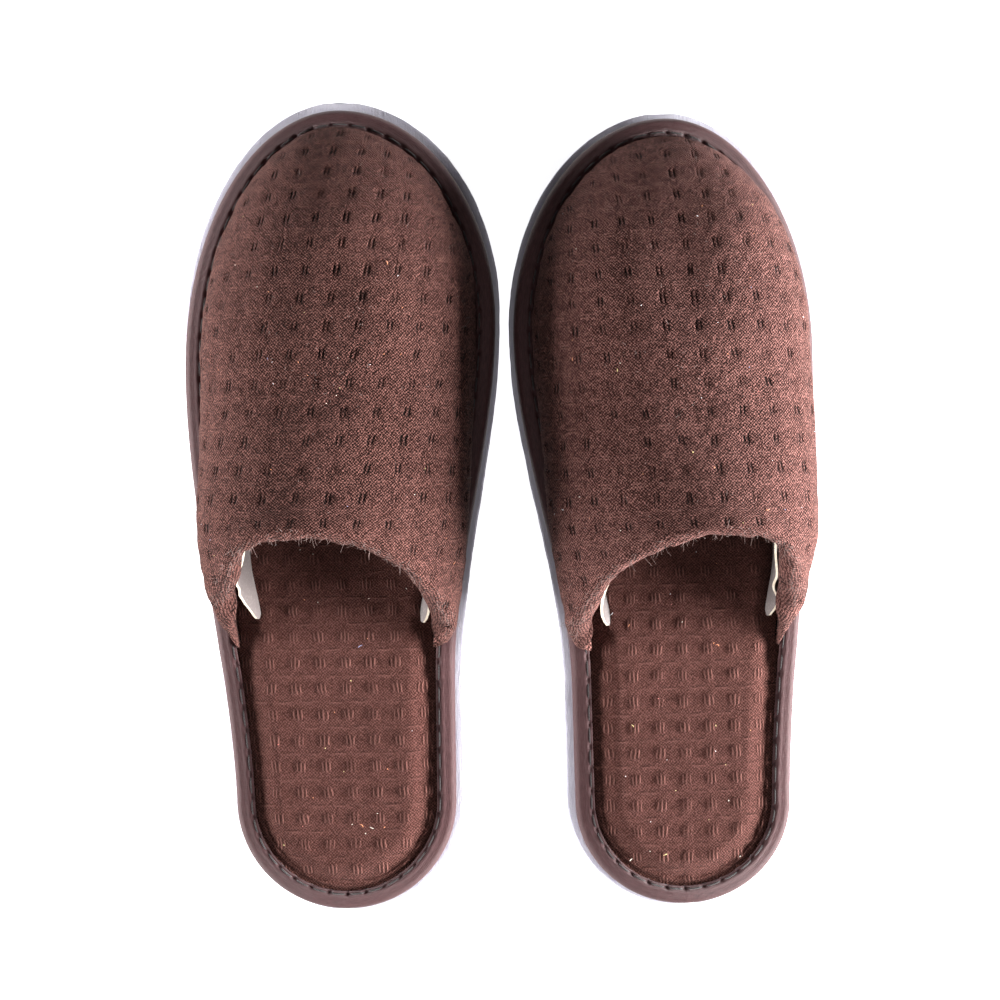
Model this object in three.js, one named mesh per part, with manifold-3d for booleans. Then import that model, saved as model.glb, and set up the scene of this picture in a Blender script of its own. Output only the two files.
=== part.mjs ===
// A pair of closed-toe spa slippers: white foam outsoles, a padded insole bound round its edge with
// tape, a padded waffle-cloth vamp and a loose card shaper inside each vamp. Millimetres, +Z up,
// toes along +Y. The pair stands on z = 0.
//
// A slipper is drawn in its own plane coordinates: u runs outwards, to the little-toe side, and y runs
// to the toe. `outward` turns u into x: -1 for the left slipper and +1 for the right one.

import * as THREE from 'three';
import { mergeVertices } from 'three/addons/utils/BufferGeometryUtils.js';
import Module from 'manifold-3d';

const wasm = await Module();
wasm.setup();

// ---- Driving dimensions -------------------------------------------------------------------------

// One of these for each slipper. The pair is sewn by hand, so the two outlines differ a little.
const pair = {
  left: {
    outward: -1,
    place: { x: -55.1, y: 0, turn: 0.013 },
    toeReach: 136.7,
    heelReach: 143.7,
    ballLateral: 54.8,
    ballMedial: 54.3,
    ballLateralY: 45.6,
    ballMedialY: 62.7,
    heelHalfWidth: 38.4,
    toeMargin: 3.9,
    ridgeLean: 7.4,
    bulgeLateral: 0.75,
    bulgeLateralAtBall: 0.12,
    cardOffset: 0.8,
  },
  right: {
    outward: 1,
    place: { x: 60.95, y: 0, turn: 0.03 },
    toeReach: 133.9,
    heelReach: 141.9,
    ballLateral: 50.4,
    ballMedial: 54.6,
    ballLateralY: 52,
    ballMedialY: 57.5,
    heelHalfWidth: 37.6,
    toeMargin: 2.9,
    ridgeLean: 9.4,
    bulgeLateral: 0.9,
    bulgeLateralAtBall: 0.42,
    cardOffset: 0.6,
  },
};

// Where the sides leave the heel's round end, and where each side starts to widen towards the ball.
const heelCentreY = -105.5;
const lateralWaistY = -118;
const medialWaistY = -64;

// Running clearance between pieces that touch.
const gap = 0.3;

// Sole.
const outsoleThickness = 5;
const medialMargin = 2.8;
const medialBallMargin = 1.5;
const lateralMargin = 0.8;
const heelMargin = 1.2;
const grooveWidth = 2;
const grooveDepth = 1;
const groovePitch = 12;
const grooveEndMargin = 8;

// Insole.
const boardThickness = 1.2;
const insoleFoamThickness = 3;
const insoleRise = 2.4;
const insoleToeRoom = 6;
const clothThickness = 1.2;

// Binding tape and its stitches.
const tapeThickness = 0.6;
const tapeWidth = 6.7;
const tapeRound = 1.1;
const stitchPitch = 7.8;
const stitchRadius = 0.4;
const holeRadius = 0.15;
const stitchToTapeEdge = 1.1;

// Vamp.
const cornerY = -52;
const throatTopY = -10.4;
const throatTopZ = 58;
const domeCentreY = 30;
const domeFall = 8;
const domeCentreLean = 2.5;
const vampFoamThickness = 2.5;
const liningThickness = 0.8;
const hemLength = 12;
const bulgeMedial = 0.88;
const bulgeMedialAtBall = 0.12;
const bulgeAtToe = 0.05;
const steepLateral = 0.9;
const steepMedial = 1.6;
const steepBall = 1.15;
const steepToe = 1.45;

// Shaper card.
const cardThickness = 1;
const cardTaper = 2.3;
const cardCurl = 0.85;
const cardSteepLateral = 0.9;
const cardSteepMedial = 1.6;
const cardLean = 3.5;
const cardRearRoom = 2;
const cardFrontRoom = 6;
const cardRearFootSetback = 12;
const cardRearTopSetback = 2.4;
const cardFrontReach = 25;

// How finely curves are cut.
const heelSteps = 6;
const waistSteps = 4;
const sideSteps = 7;
const toeSteps = 9;
const archSteps = 6;
const turnSteps = 3;
const cardRows = 5;

// ---- Levels and insets that follow from them ----------------------------------------------------

const tapeBottom = outsoleThickness + gap;
const boardBottom = tapeBottom + tapeThickness + gap;
const coverBottom = boardBottom + boardThickness + gap;
const coverMarginTop = coverBottom + clothThickness;
const flangeBottom = coverMarginTop + gap;
const flangeTop = flangeBottom + clothThickness;
const tapeTopAtHeel = coverMarginTop + gap + tapeThickness;
const tapeTopAtToe = flangeTop + gap + tapeThickness;
const insideTapeInset = tapeThickness + 2 * gap;
const stitchInset = tapeWidth - stitchToTapeEdge;
const vampInset = tapeWidth + gap;
const springingZ = tapeTopAtToe + gap;
const domeCentreZ = throatTopZ - domeFall;
const vampFoamOut = clothThickness + gap;
const vampFoamIn = vampFoamOut + vampFoamThickness;
const liningOut = vampFoamIn + gap;
const liningIn = liningOut + liningThickness;
const hemIn = liningOut + clothThickness;
const coverRiseInset = vampInset + hemIn + gap;
const insoleFoamInset = coverRiseInset + insoleRise + 2 * gap;
const coverLift = insoleFoamThickness + gap;
const coverTop = coverMarginTop + coverLift;
const cardBottom = coverTop + gap;
const cardRearHeight = throatTopZ - hemIn - cardBottom - cardRearRoom;
const cardFrontHeight = domeCentreZ - hemIn - cardBottom - cardFrontRoom;
const cardRearFootY = cornerY + cardRearFootSetback;
const cardRearTopY = throatTopY + cardRearTopSetback;
const cardFrontY = domeCentreY + cardFrontReach;

// ---- Small helpers ------------------------------------------------------------------------------

const mix = (a, b, t) => a + (b - a) * t;
const smooth = (t) => t * t * (3 - 2 * t);
const steps = (count) => Array.from({ length: count + 1 }, (_, i) => i / count);

// Vertices and faces of one closed body, gathered row by row.
class Skin {
  constructor() {
    this.points = [];
    this.faces = [];
  }

  row(points) {
    return points.map((point) => this.points.push(point) - 1);
  }

  strip(a, b, closed = false) {
    const count = closed ? a.length : a.length - 1;
    for (let i = 0; i < count; i += 1) {
      const j = (i + 1) % a.length;
      this.faces.push([a[i], a[j], b[j]], [a[i], b[j], b[i]]);
    }
  }

  fan(ring, centre) {
    ring.forEach((id, i) => this.faces.push([id, ring[(i + 1) % ring.length], centre]));
  }

  // Faces are wound alike all over, so a negative volume means that they all point inwards.
  geometry() {
    const [a, b, c] = [new THREE.Vector3(), new THREE.Vector3(), new THREE.Vector3()];
    const volume = this.faces.reduce((sum, face) => {
      [a, b, c].forEach((corner, i) => corner.copy(this.points[face[i]]));
      return sum + a.dot(b.cross(c));
    }, 0);
    const faces = volume < 0 ? this.faces.map(([p, q, r]) => [p, r, q]) : this.faces;
    const geometry = new THREE.BufferGeometry();
    const positions = this.points.flatMap((point) => point.toArray());
    geometry.setAttribute('position', new THREE.Float32BufferAttribute(positions, 3));
    geometry.setIndex(faces.flat());
    return geometry;
  }
}

const solidOf = (geometry) => {
  const bare = geometry.clone();
  bare.deleteAttribute('normal');
  bare.deleteAttribute('uv');
  const merged = mergeVertices(bare, 1e-4);
  const mesh = new wasm.Mesh({
    numProp: 3,
    vertProperties: new Float32Array(merged.attributes.position.array),
    triVerts: new Uint32Array(merged.index.array),
  });
  return new wasm.Manifold(mesh);
};

const geometryOf = (solid) => {
  const mesh = solid.getMesh();
  const geometry = new THREE.BufferGeometry();
  geometry.setAttribute('position', new THREE.BufferAttribute(mesh.vertProperties, 3));
  geometry.setIndex(new THREE.BufferAttribute(mesh.triVerts, 1));
  return geometry;
};

// ---- The outline of one slipper -----------------------------------------------------------------

// v runs from the middle of the heel (0) over the end of the heel's round (1) and the ball (2) to the
// tip of the toe (3), on the lateral side (half = 1) or the medial side (half = -1).
const outlineOf = (slipper) => {
  const side = (half) => {
    const lateral = half > 0;
    return {
      ball: lateral ? slipper.ballLateral : slipper.ballMedial,
      ballY: lateral ? slipper.ballLateralY : slipper.ballMedialY,
      waistY: lateral ? lateralWaistY : medialWaistY,
      margin: lateral ? lateralMargin : medialMargin,
      ballMargin: lateral ? lateralMargin : medialBallMargin,
    };
  };

  const edge = (v, half) => {
    const { ball, ballY, waistY } = side(half);
    if (v >= 2) {
      const turn = ((v - 2) * Math.PI) / 2;
      return [half * ball * Math.cos(turn), mix(ballY, slipper.toeReach, Math.sin(turn))];
    }
    const width = (y) => {
      const t = THREE.MathUtils.clamp((y - waistY) / (ballY - waistY), 0, 1);
      return mix(slipper.heelHalfWidth, ball, smooth(t));
    };
    if (v >= 1) {
      const y = mix(heelCentreY, ballY, v - 1);
      return [half * width(y), y];
    }
    const turn = (v * Math.PI) / 2;
    const y = mix(heelCentreY, -slipper.heelReach, Math.cos(turn));
    return [half * width(heelCentreY) * Math.sin(turn), y];
  };

  // The outward normal, from the edge's direction a little before and after v.
  const normal = (v, half) => {
    const reach = 0.002;
    const [u0, y0] = edge(Math.max(v - reach, 0), half);
    const [u1, y1] = edge(Math.min(v + reach, 3), half);
    const length = Math.hypot(u1 - u0, y1 - y0);
    if (v === 0 || v === 3) return [0, v === 0 ? -1 : 1];
    return [(half * Math.abs(y1 - y0)) / length, (-half * (u1 - u0)) / length];
  };

  const inset = (v, half, distance) => {
    const [u, y] = edge(v, half);
    const [nu, ny] = normal(v, half);
    return [u - nu * distance, y - ny * distance];
  };

  // How far the outsole reaches past the tape.
  const margin = (v, half) => {
    const { margin: waistMargin, ballMargin } = side(half);
    if (v >= 2) return mix(ballMargin, slipper.toeMargin, Math.sin(((v - 2) * Math.PI) / 2));
    return v >= 1 ? mix(waistMargin, ballMargin, smooth(v - 1)) : mix(heelMargin, waistMargin, v);
  };

  const corner = (half) => 1 + (cornerY - heelCentreY) / (side(half).ballY - heelCentreY);

  // The v of each point of a half, from the middle of the heel to the tip of the toe.
  const halfStations = (half) => [
    ...steps(heelSteps).slice(0, -1),
    ...steps(waistSteps).slice(0, -1).map((t) => mix(1, corner(half), t)),
    ...steps(sideSteps).slice(0, -1).map((t) => mix(corner(half), 2, t)),
    ...steps(toeSteps).map((t) => 2 + t),
  ];

  // The whole loop: up the lateral side to the toe and down the medial side to the heel.
  const loop = [
    ...halfStations(1).map((v) => ({ v, half: 1 })),
    ...halfStations(-1).slice(1, -1).reverse().map((v) => ({ v, half: -1 })),
  ];
  return { inset, margin, corner, loop };
};

// ---- Pieces of the sole -------------------------------------------------------------------------

const at = (slipper, [u, y], z) => new THREE.Vector3(slipper.outward * u, y, z);

// A flat-bottomed or domed plate: rings from the middle of its underside round its rim to the middle
// of its top, each ring a distance inside the edge and a height.
const plate = (slipper, outline, rings) => {
  const skin = new Skin();
  const rows = rings.map(([distance, z]) => skin.row(outline.loop.map(({ v, half }) => {
    const far = typeof distance === 'function' ? distance(v, half) : distance;
    return at(slipper, outline.inset(v, half, far), z);
  })));
  const [below] = skin.row([at(slipper, [0, 0], rings[0][1])]);
  const [above] = skin.row([at(slipper, [0, 0], rings.at(-1)[1])]);
  rows.slice(1).forEach((row, i) => skin.strip(rows[i], row, true));
  skin.fan([...rows[0]].reverse(), below);
  skin.fan(rows.at(-1), above);
  return skin.geometry();
};

const outsole = (slipper, outline) => {
  const outset = (v, half) => -outline.margin(v, half);
  const body = plate(slipper, outline, [[outset, 0], [outset, outsoleThickness]]);
  const groove = new THREE.BoxGeometry(4 * slipper.ballLateral, grooveWidth, 2 * grooveDepth);
  const cutAt = (solid, y) => solid.subtract(solidOf(groove.clone().translate(0, y, 0)));
  const fore = [];
  for (let y = domeCentreY; y < slipper.toeReach - grooveEndMargin; y += groovePitch) fore.push(y);
  const aft = [];
  for (let y = heelCentreY + 2 * groovePitch; y > grooveEndMargin - slipper.heelReach; y -= groovePitch) {
    aft.push(y);
  }
  return geometryOf([...fore, ...aft].reduce(cutAt, solidOf(body)));
};

const insoleBoard = (slipper, outline) => plate(slipper, outline, [
  [insideTapeInset, boardBottom],
  [insideTapeInset, boardBottom + boardThickness],
]);

// The padding keeps further from the edge round the toe, where the vamp slopes in low over it.
const clearOfToe = (distance) => (v) => distance + insoleToeRoom * smooth(Math.max(v - 2, 0));

const insoleFoam = (slipper, outline) => plate(slipper, outline, [
  [clearOfToe(insoleFoamInset), coverBottom],
  [clearOfToe(insoleFoamInset), coverBottom + insoleFoamThickness],
]);

// The cover lies flat on the board round the edge and rises over the foam inside it.
const insoleCover = (slipper, outline) => {
  const under = coverRiseInset + gap;
  return plate(slipper, outline, [
    [clearOfToe(under + insoleRise), coverBottom + coverLift],
    [clearOfToe(under), coverBottom],
    [insideTapeInset, coverBottom],
    [insideTapeInset, coverMarginTop],
    [clearOfToe(coverRiseInset), coverMarginTop],
    [clearOfToe(coverRiseInset + insoleRise), coverTop],
  ]);
};

// The tape's top leg lies on the vamp's flange in front of the corners, and on the cover behind them.
const tapeTop = (outline, v, half) => {
  const lastLow = mix(1, outline.corner(half), 1 - 1 / waistSteps);
  const t = THREE.MathUtils.clamp((v - lastLow) / (outline.corner(half) - lastLow), 0, 1);
  return mix(tapeTopAtHeel, tapeTopAtToe, t);
};

const bindingTape = (slipper, outline) => {
  const skin = new Skin();
  const rows = outline.loop.map(({ v, half }) => {
    const top = tapeTop(outline, v, half);
    const section = [
      [tapeWidth, tapeBottom],
      [tapeRound, tapeBottom],
      [0, tapeBottom + tapeRound],
      [0, top - tapeRound],
      [tapeRound, top],
      [tapeWidth, top],
      [tapeWidth, top - tapeThickness],
      [tapeThickness + gap, top - tapeThickness],
      [tapeThickness + gap, tapeBottom + tapeThickness],
      [tapeWidth, tapeBottom + tapeThickness],
    ];
    return skin.row(section.map(([distance, z]) => at(slipper, outline.inset(v, half, distance), z)));
  });
  rows.forEach((row, i) => skin.strip(row, rows[(i + 1) % rows.length], true));
  return skin.geometry();
};

// The top thread of the seam along the tape's inner edge: one closed run that stands proud in the
// middle of each stitch and thins where it dips to a needle hole.
const bindingStitching = (slipper, outline) => {
  const path = outline.loop.map(({ v, half }) => at(
    slipper,
    outline.inset(v, half, stitchInset),
    tapeTop(outline, v, half) + gap,
  ));
  const lengths = path.map((point, i) => point.distanceTo(path[(i + 1) % path.length]));
  const total = lengths.reduce((sum, length) => sum + length, 0);
  const count = 2 * Math.round(total / stitchPitch);
  const up = new THREE.Vector3(0, 0, 1);
  const skin = new Skin();
  const sections = steps(count).slice(0, -1).map((t, k) => {
    let along = t * total;
    let i = 0;
    while (along > lengths[i]) {
      along -= lengths[i];
      i += 1;
    }
    const next = path[(i + 1) % path.length];
    const middle = path[i].clone().lerp(next, along / lengths[i]);
    const across = new THREE.Vector3().crossVectors(up, next.clone().sub(path[i])).normalize();
    const radius = k % 2 ? stitchRadius : holeRadius;
    return skin.row([[1, 1], [0, 2], [-1, 1], [0, 0]].map(([a, b]) => middle.clone()
      .addScaledVector(across, a * radius)
      .addScaledVector(up, b * radius)));
  });
  sections.forEach((section, i) => skin.strip(section, sections[(i + 1) % count], true));
  return skin.geometry();
};

// ---- The vamp -----------------------------------------------------------------------------------

// The vamp's outer surface. It springs from the feather line, which follows the tape's inner edge,
// to a ridge that leans outwards. `along` is a place along the feather line. `rise` runs from 0 just
// above the tape to 1 at the ridge, and is -1 at the foot, which stands straight up past the tape.
const vampOf = (slipper, outline) => {
  // w runs from the throat's corner (0) to the ball (1); d runs on round the toe from 1 to 2.
  const springing = (along, half) => {
    const onSide = along <= 1;
    const v = onSide ? mix(outline.corner(half), 2, along) : 1 + along;
    const w = Math.min(along, 1);
    const d = Math.max(along - 1, 0);
    const lateral = half > 0;
    const ballBulge = lateral ? slipper.bulgeLateralAtBall : bulgeMedialAtBall;
    const rearBulge = lateral ? slipper.bulgeLateral : bulgeMedial;
    return {
      foot: outline.inset(v, half, vampInset),
      ridge: [mix(slipper.ridgeLean, domeCentreLean, w), mix(throatTopY, domeCentreY, w)],
      ridgeZ: mix(throatTopZ, domeCentreZ, w),
      bulge: onSide ? mix(rearBulge, ballBulge, smooth(w)) : mix(ballBulge, bulgeAtToe, smooth(d)),
      steep: onSide
        ? mix(lateral ? steepLateral : steepMedial, steepBall, smooth(w))
        : mix(steepBall, steepToe, smooth(d)),
      rake: 1 - smooth(w),
    };
  };

  const place = (along, half, rise) => {
    const { foot, ridge, ridgeZ, bulge, steep, rake } = springing(along, half);
    if (rise < 0) return at(slipper, foot, flangeBottom);
    const turn = (rise * Math.PI) / 2;
    const height = Math.sin(turn) ** steep;
    const across = 1 - Math.cos(turn) * (1 + bulge * Math.sin(turn));
    const back = mix(across, height, rake);
    const z = mix(springingZ, ridgeZ, height);
    return at(slipper, [mix(foot[0], ridge[0], across), mix(foot[1], ridge[1], back)], z);
  };

  // Outward normal and the direction along the feather line towards the heel, by small differences.
  const frameAt = (along, half, rise) => {
    const reach = 0.01;
    const level = Math.max(rise, 0);
    const [a0, a1] = [Math.max(along - reach, 0), Math.min(along + reach, 2)];
    const [r0, r1] = [Math.max(level - reach, 0), Math.min(level + reach, 1)];
    const forward = place(a1, half, level).sub(place(a0, half, level));
    const up = place(along, half, r1).sub(place(along, half, r0));
    const normal = forward.clone().cross(up).multiplyScalar(slipper.outward * half);
    if (level === 0) normal.z = 0;
    return { normal: normal.normalize(), rearward: forward.normalize().negate() };
  };

  const pointAt = (along, half, rise, depth, turn = 0, radius = 0) => {
    const { normal, rearward } = frameAt(along, half, rise);
    return place(along, half, rise)
      .addScaledVector(normal, radius * Math.cos(turn) - depth)
      .addScaledVector(rearward, radius * Math.sin(turn));
  };
  return pointAt;
};

// A skin over the vamp between two depths below its outer surface. Each row is an arch over the foot,
// and the toe is closed by spokes that meet at the dome's centre. `rows` are the arches: a place along
// the side with the outer and inner face's depth, and a turn with two radii where the cloth folds.
const vampSkin = (pointAt, rows) => {
  const rises = [-1, ...steps(archSteps)];
  const crownIndex = rises.length - 1;
  const skin = new Skin();
  const face = (key) => {
    const point = (row, half, rise) => {
      const { along, turn = 0 } = row;
      const { depth, radius = 0 } = row[key];
      return pointAt(along, half, rise, depth, turn, radius);
    };
    const arches = rows.map((row) => skin.row([
      ...rises.map((rise) => point(row, 1, rise)),
      ...rises.slice(0, -1).reverse().map((rise) => point(row, -1, rise)),
    ]));
    const last = arches.at(-1);
    const crown = last[crownIndex];
    const spoke = (along, half) => skin.row(rises.slice(0, -1).map((rise) => point(
      { ...rows.at(-1), along },
      half,
      rise,
    )));
    const outwards = steps(toeSteps).slice(1).map((t) => spoke(1 + t, 1));
    const inwards = steps(toeSteps).slice(1, -1).reverse().map((t) => spoke(1 + t, -1));
    const spokes = [
      last.slice(0, crownIndex),
      ...outwards,
      ...inwards,
      last.slice(crownIndex + 1).reverse(),
    ];
    const border = [
      ...arches.map((arch) => arch[0]),
      ...spokes.slice(1, -1).map((ids) => ids[0]),
      ...[...arches].reverse().map((arch) => arch.at(-1)),
      ...arches[0].slice(1, -1).reverse(),
    ];
    return { arches, spokes, crown, border };
  };
  const outer = face('outer');
  const inner = face('inner');
  const flip = [outer, inner];
  flip.forEach(({ arches, spokes, crown }) => {
    const from = skin.faces.length;
    arches.slice(1).forEach((arch, i) => skin.strip(arches[i], arch));
    spokes.slice(1).forEach((ids, i) => {
      skin.strip(spokes[i], ids);
      skin.faces.push([spokes[i].at(-1), crown, ids.at(-1)]);
    });
    if (arches === inner.arches) {
      skin.faces.slice(from).forEach((tri) => tri.reverse());
    }
  });
  skin.strip(outer.border, inner.border, true);
  return skin.geometry();
};

const sideRows = (from, outerDepth, innerDepth) => steps(sideSteps)
  .filter((t) => t > from)
  .map((along) => ({ along, outer: { depth: outerDepth }, inner: { depth: innerDepth } }));

// The share of the side that the turned-in hem covers.
const hemShare = (slipper) => hemLength / (slipper.ballLateralY - cornerY);

// Waffle cloth over the whole vamp. At the throat it folds round the padding and is turned in as a
// hem, and at the sole it turns out into the flange that the tape is sewn over.
const vampCover = (slipper, outline, pointAt) => {
  const radius = hemIn / 2;
  const fold = steps(turnSteps).reverse().map((t) => ({
    along: 0,
    turn: t * Math.PI,
    outer: { depth: radius, radius },
    inner: { depth: radius, radius: radius - clothThickness },
  }));
  const hemEnd = {
    along: hemShare(slipper),
    outer: { depth: hemIn },
    inner: { depth: liningOut },
  };
  const wall = vampSkin(pointAt, [hemEnd, ...fold, ...sideRows(0, 0, clothThickness)]);
  const skin = new Skin();
  const front = outline.loop.filter(({ v, half }) => v >= outline.corner(half) - 1e-6);
  const sections = front.map(({ v, half }) => skin.row([
    [insideTapeInset, flangeBottom],
    [vampInset + clothThickness / 2, flangeBottom],
    [vampInset + clothThickness / 2, flangeTop],
    [insideTapeInset, flangeTop],
  ].map(([distance, z]) => at(slipper, outline.inset(v, half, distance), z))));
  sections.slice(1).forEach((section, i) => skin.strip(sections[i], section, true));
  [[...sections[0]].reverse(), sections.at(-1)].forEach(([p, q, r, s]) => {
    skin.faces.push([p, q, r], [p, r, s]);
  });
  return geometryOf(solidOf(wall).add(solidOf(skin.geometry())));
};

const vampFoam = (pointAt) => vampSkin(pointAt, [
  { along: 0, outer: { depth: vampFoamOut }, inner: { depth: vampFoamIn } },
  ...sideRows(0, vampFoamOut, vampFoamIn),
]);

const vampLining = (slipper, pointAt) => {
  const from = hemShare(slipper) + (2 * gap) / (slipper.ballLateralY - cornerY);
  return vampSkin(pointAt, [
    { along: from, outer: { depth: liningOut }, inner: { depth: liningIn } },
    ...sideRows(from, liningOut, liningIn),
  ]);
};

// ---- The shaper card ----------------------------------------------------------------------------

// A sprung card arch that stands on the insole inside the vamp, as wide at its rear tips as the throat
// is at its corners. Its free edges curl inwards and its rear edge slopes like the throat.
const vampShaper = (slipper, outline) => {
  const tipHalfWidth = Math.abs(outline.inset(outline.corner(-1), -1, vampInset + hemIn)[0]);
  const skin = new Skin();
  const turns = steps(2 * archSteps).map((t) => t * Math.PI);
  const sheet = (depth) => steps(cardRows).map((t) => skin.row(turns.map((turn) => {
    const height = Math.sin(turn) ** (turn < Math.PI / 2 ? cardSteepLateral : cardSteepMedial);
    const halfWidth = mix(tipHalfWidth, tipHalfWidth - cardTaper, t) - depth;
    const rise = mix(cardRearHeight, cardFrontHeight, t) - depth;
    const across = Math.cos(turn) * (1 + cardCurl * Math.sin(turn));
    const u = slipper.cardOffset + halfWidth * across + cardLean * Math.sin(turn);
    const y = mix(mix(cardRearFootY, cardRearTopY, height), cardFrontY, t);
    return at(slipper, [u, y], cardBottom + rise * height);
  })));
  const outer = sheet(0);
  const inner = sheet(cardThickness);
  const wrap = (rows) => [
    ...rows[0],
    ...rows.slice(1, -1).map((row) => row.at(-1)),
    ...[...rows.at(-1)].reverse(),
    ...rows.slice(1, -1).reverse().map((row) => row[0]),
  ];
  outer.slice(1).forEach((row, i) => skin.strip(row, outer[i]));
  inner.slice(1).forEach((row, i) => skin.strip(inner[i], row));
  skin.strip(wrap(outer), wrap(inner), true);
  return skin.geometry();
};

// ---- Assembly -----------------------------------------------------------------------------------

const looks = {
  foam: { color: 0xe6e4ee, roughness: 0.7, metalness: 0 },
  padding: { color: 0xefe9dc, roughness: 0.9, metalness: 0 },
  board: { color: 0xb8b0a2, roughness: 0.85, metalness: 0 },
  waffle: { color: 0x6e4841, roughness: 0.95, metalness: 0 },
  tape: { color: 0x5b4144, roughness: 0.6, metalness: 0 },
  thread: { color: 0x4a3234, roughness: 0.7, metalness: 0 },
  lining: { color: 0x5f3f39, roughness: 0.9, metalness: 0 },
  card: { color: 0xd9cfc2, roughness: 0.6, metalness: 0 },
};

const slipperGroup = (name, slipper) => {
  const outline = outlineOf(slipper);
  const pointAt = vampOf(slipper, outline);
  const pieces = [
    ['outsole', looks.foam, outsole(slipper, outline)],
    ['insole_board', looks.board, insoleBoard(slipper, outline)],
    ['insole_foam', looks.padding, insoleFoam(slipper, outline)],
    ['insole_cover', looks.waffle, insoleCover(slipper, outline)],
    ['binding_tape', looks.tape, bindingTape(slipper, outline)],
    ['binding_stitching', looks.thread, bindingStitching(slipper, outline)],
    ['vamp_cover', looks.waffle, vampCover(slipper, outline, pointAt)],
    ['vamp_foam', looks.padding, vampFoam(pointAt)],
    ['vamp_lining', looks.lining, vampLining(slipper, pointAt)],
    ['vamp_shaper', looks.card, vampShaper(slipper, outline)],
  ];
  const group = new THREE.Group();
  pieces.forEach(([piece, look, geometry]) => {
    const mesh = new THREE.Mesh(geometry, new THREE.MeshStandardMaterial(look));
    mesh.name = `${name}_${piece}`;
    group.add(mesh);
  });
  group.position.set(slipper.place.x, slipper.place.y, 0);
  group.rotation.z = slipper.place.turn;
  return group;
};

// The origin is on the floor, under the middle of the pair.
const group = new THREE.Group();
const standing = new THREE.Group();
Object.entries(pair).forEach(([name, slipper]) => standing.add(slipperGroup(name, slipper)));
group.add(standing);
const middle = new THREE.Box3().setFromObject(standing, true).getCenter(new THREE.Vector3());
standing.position.set(-middle.x, -middle.y, 0);

export default group;
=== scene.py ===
"""Looks for the pair of closed-toe spa slippers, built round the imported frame.

Shapes are drawn in millimetres in each slipper's own plane coordinates, as in the CAD: u runs outwards
to the little-toe side, y to the toe, z up. to_row() turns them into the row frame in metres.
"""

import math

import bmesh
import bpy
import numpy as np
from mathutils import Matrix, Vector


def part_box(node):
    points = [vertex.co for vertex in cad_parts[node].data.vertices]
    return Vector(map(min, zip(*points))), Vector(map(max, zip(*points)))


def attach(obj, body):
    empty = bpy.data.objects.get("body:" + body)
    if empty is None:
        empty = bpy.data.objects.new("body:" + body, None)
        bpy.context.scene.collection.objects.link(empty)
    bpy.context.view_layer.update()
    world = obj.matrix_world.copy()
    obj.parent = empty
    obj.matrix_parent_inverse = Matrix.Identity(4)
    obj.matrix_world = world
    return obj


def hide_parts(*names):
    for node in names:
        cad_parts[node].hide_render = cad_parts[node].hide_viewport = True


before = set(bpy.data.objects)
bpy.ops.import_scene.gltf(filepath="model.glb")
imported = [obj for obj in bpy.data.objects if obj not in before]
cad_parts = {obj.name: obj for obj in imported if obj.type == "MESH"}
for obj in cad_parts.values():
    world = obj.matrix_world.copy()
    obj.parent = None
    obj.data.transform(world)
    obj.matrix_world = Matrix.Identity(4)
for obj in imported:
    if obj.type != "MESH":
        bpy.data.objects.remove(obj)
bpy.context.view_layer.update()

# ---- Sizes (millimetres) -------------------------------------------------------------------------

# They are the CAD's, with two exceptions that were fitted to the photo alone. The throat rows say how
# far its edge is drawn in (u) and moved (y) at THROAT_KNOTS of the rise. The card's offset, foot, curl
# and splay make it about 14 mm wider at the front than the CAD's card, which narrows to the front.
THROAT_KNOTS = np.array([0, 0.22, 0.45, 0.7, 1.0])
PAIR = {
    "left": dict(
        outward=-1, turn=0.013, toe_reach=136.7, heel_reach=143.7, ball=(54.8, 54.3),
        ball_y=(45.6, 62.7), heel_half=38.4, toe_margin=3.9, ridge_lean=7.4, bulge=0.75,
        bulge_ball=0.12, card_offset=1.0, seed=11, lean=0.17, insole_lean=0.045,
        insole_phase=(2.04, -2.4),
        throat_u=((0, 1.2, -3.4, -1, 0), (0, -0.5, -3.2, -2, 0)),
        throat_y=((0, 3, 0, 1.5, 1.6), (0, 1.5, -2, -1.5, 1.6)),
    ),
    "right": dict(
        outward=1, turn=0.03, toe_reach=133.9, heel_reach=141.9, ball=(50.4, 54.6),
        ball_y=(52.0, 57.5), heel_half=37.6, toe_margin=2.9, ridge_lean=9.4, bulge=0.9,
        bulge_ball=0.42, card_offset=3.2, seed=29, lean=-0.09, insole_lean=0.0,
        insole_phase=(1.1, 2.2),
        throat_u=((0, 0.5, -2.5, 0, 0), (0, -0.5, -3.5, -2, 0)),
        throat_y=((0, 2, -1, 1.5, 1.8), (0, 1.5, -2, -0.5, 1.8)),
    ),
}
HEEL_Y = -105.5
WAIST_Y = (-118.0, -64.0)
MARGIN = (0.8, 2.8)
BALL_MARGIN = (0.8, 1.5)
HEEL_MARGIN = 1.2
SOLE = 5.0
CORNER_Y = -52.0
TAPE_BOTTOM, TAPE_HEEL, TAPE_TOE, TAPE_WIDTH = 5.3, 9.8, 11.3, 6.7
TAPE_THICK, TAPE_ROLL, TAPE_CROWN = 0.6, 2.9, 0.42
STITCH_PITCH, STITCH_INSET = 7.8, 5.6
COVER_BOTTOM, COVER_MARGIN, COVER_TOP = 7.7, 8.9, 12.2
COVER_EDGE, COVER_RISE, COVER_SLOPE, TOE_ROOM = 1.2, 12.8, 2.4, 6.0
COVER_HOLLOW = 3.1
FLANGE_BOTTOM, FLANGE_TOP, FLANGE_EDGE, TUCK = 9.2, 10.4, 1.2, 0.7
SPRING_Z, VAMP_INSET = 11.6, 7.0
THROAT_TOP = (-10.4, 58.0)
DOME = (2.5, 30.0, 50.0)
CLOTH = 1.2
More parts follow.
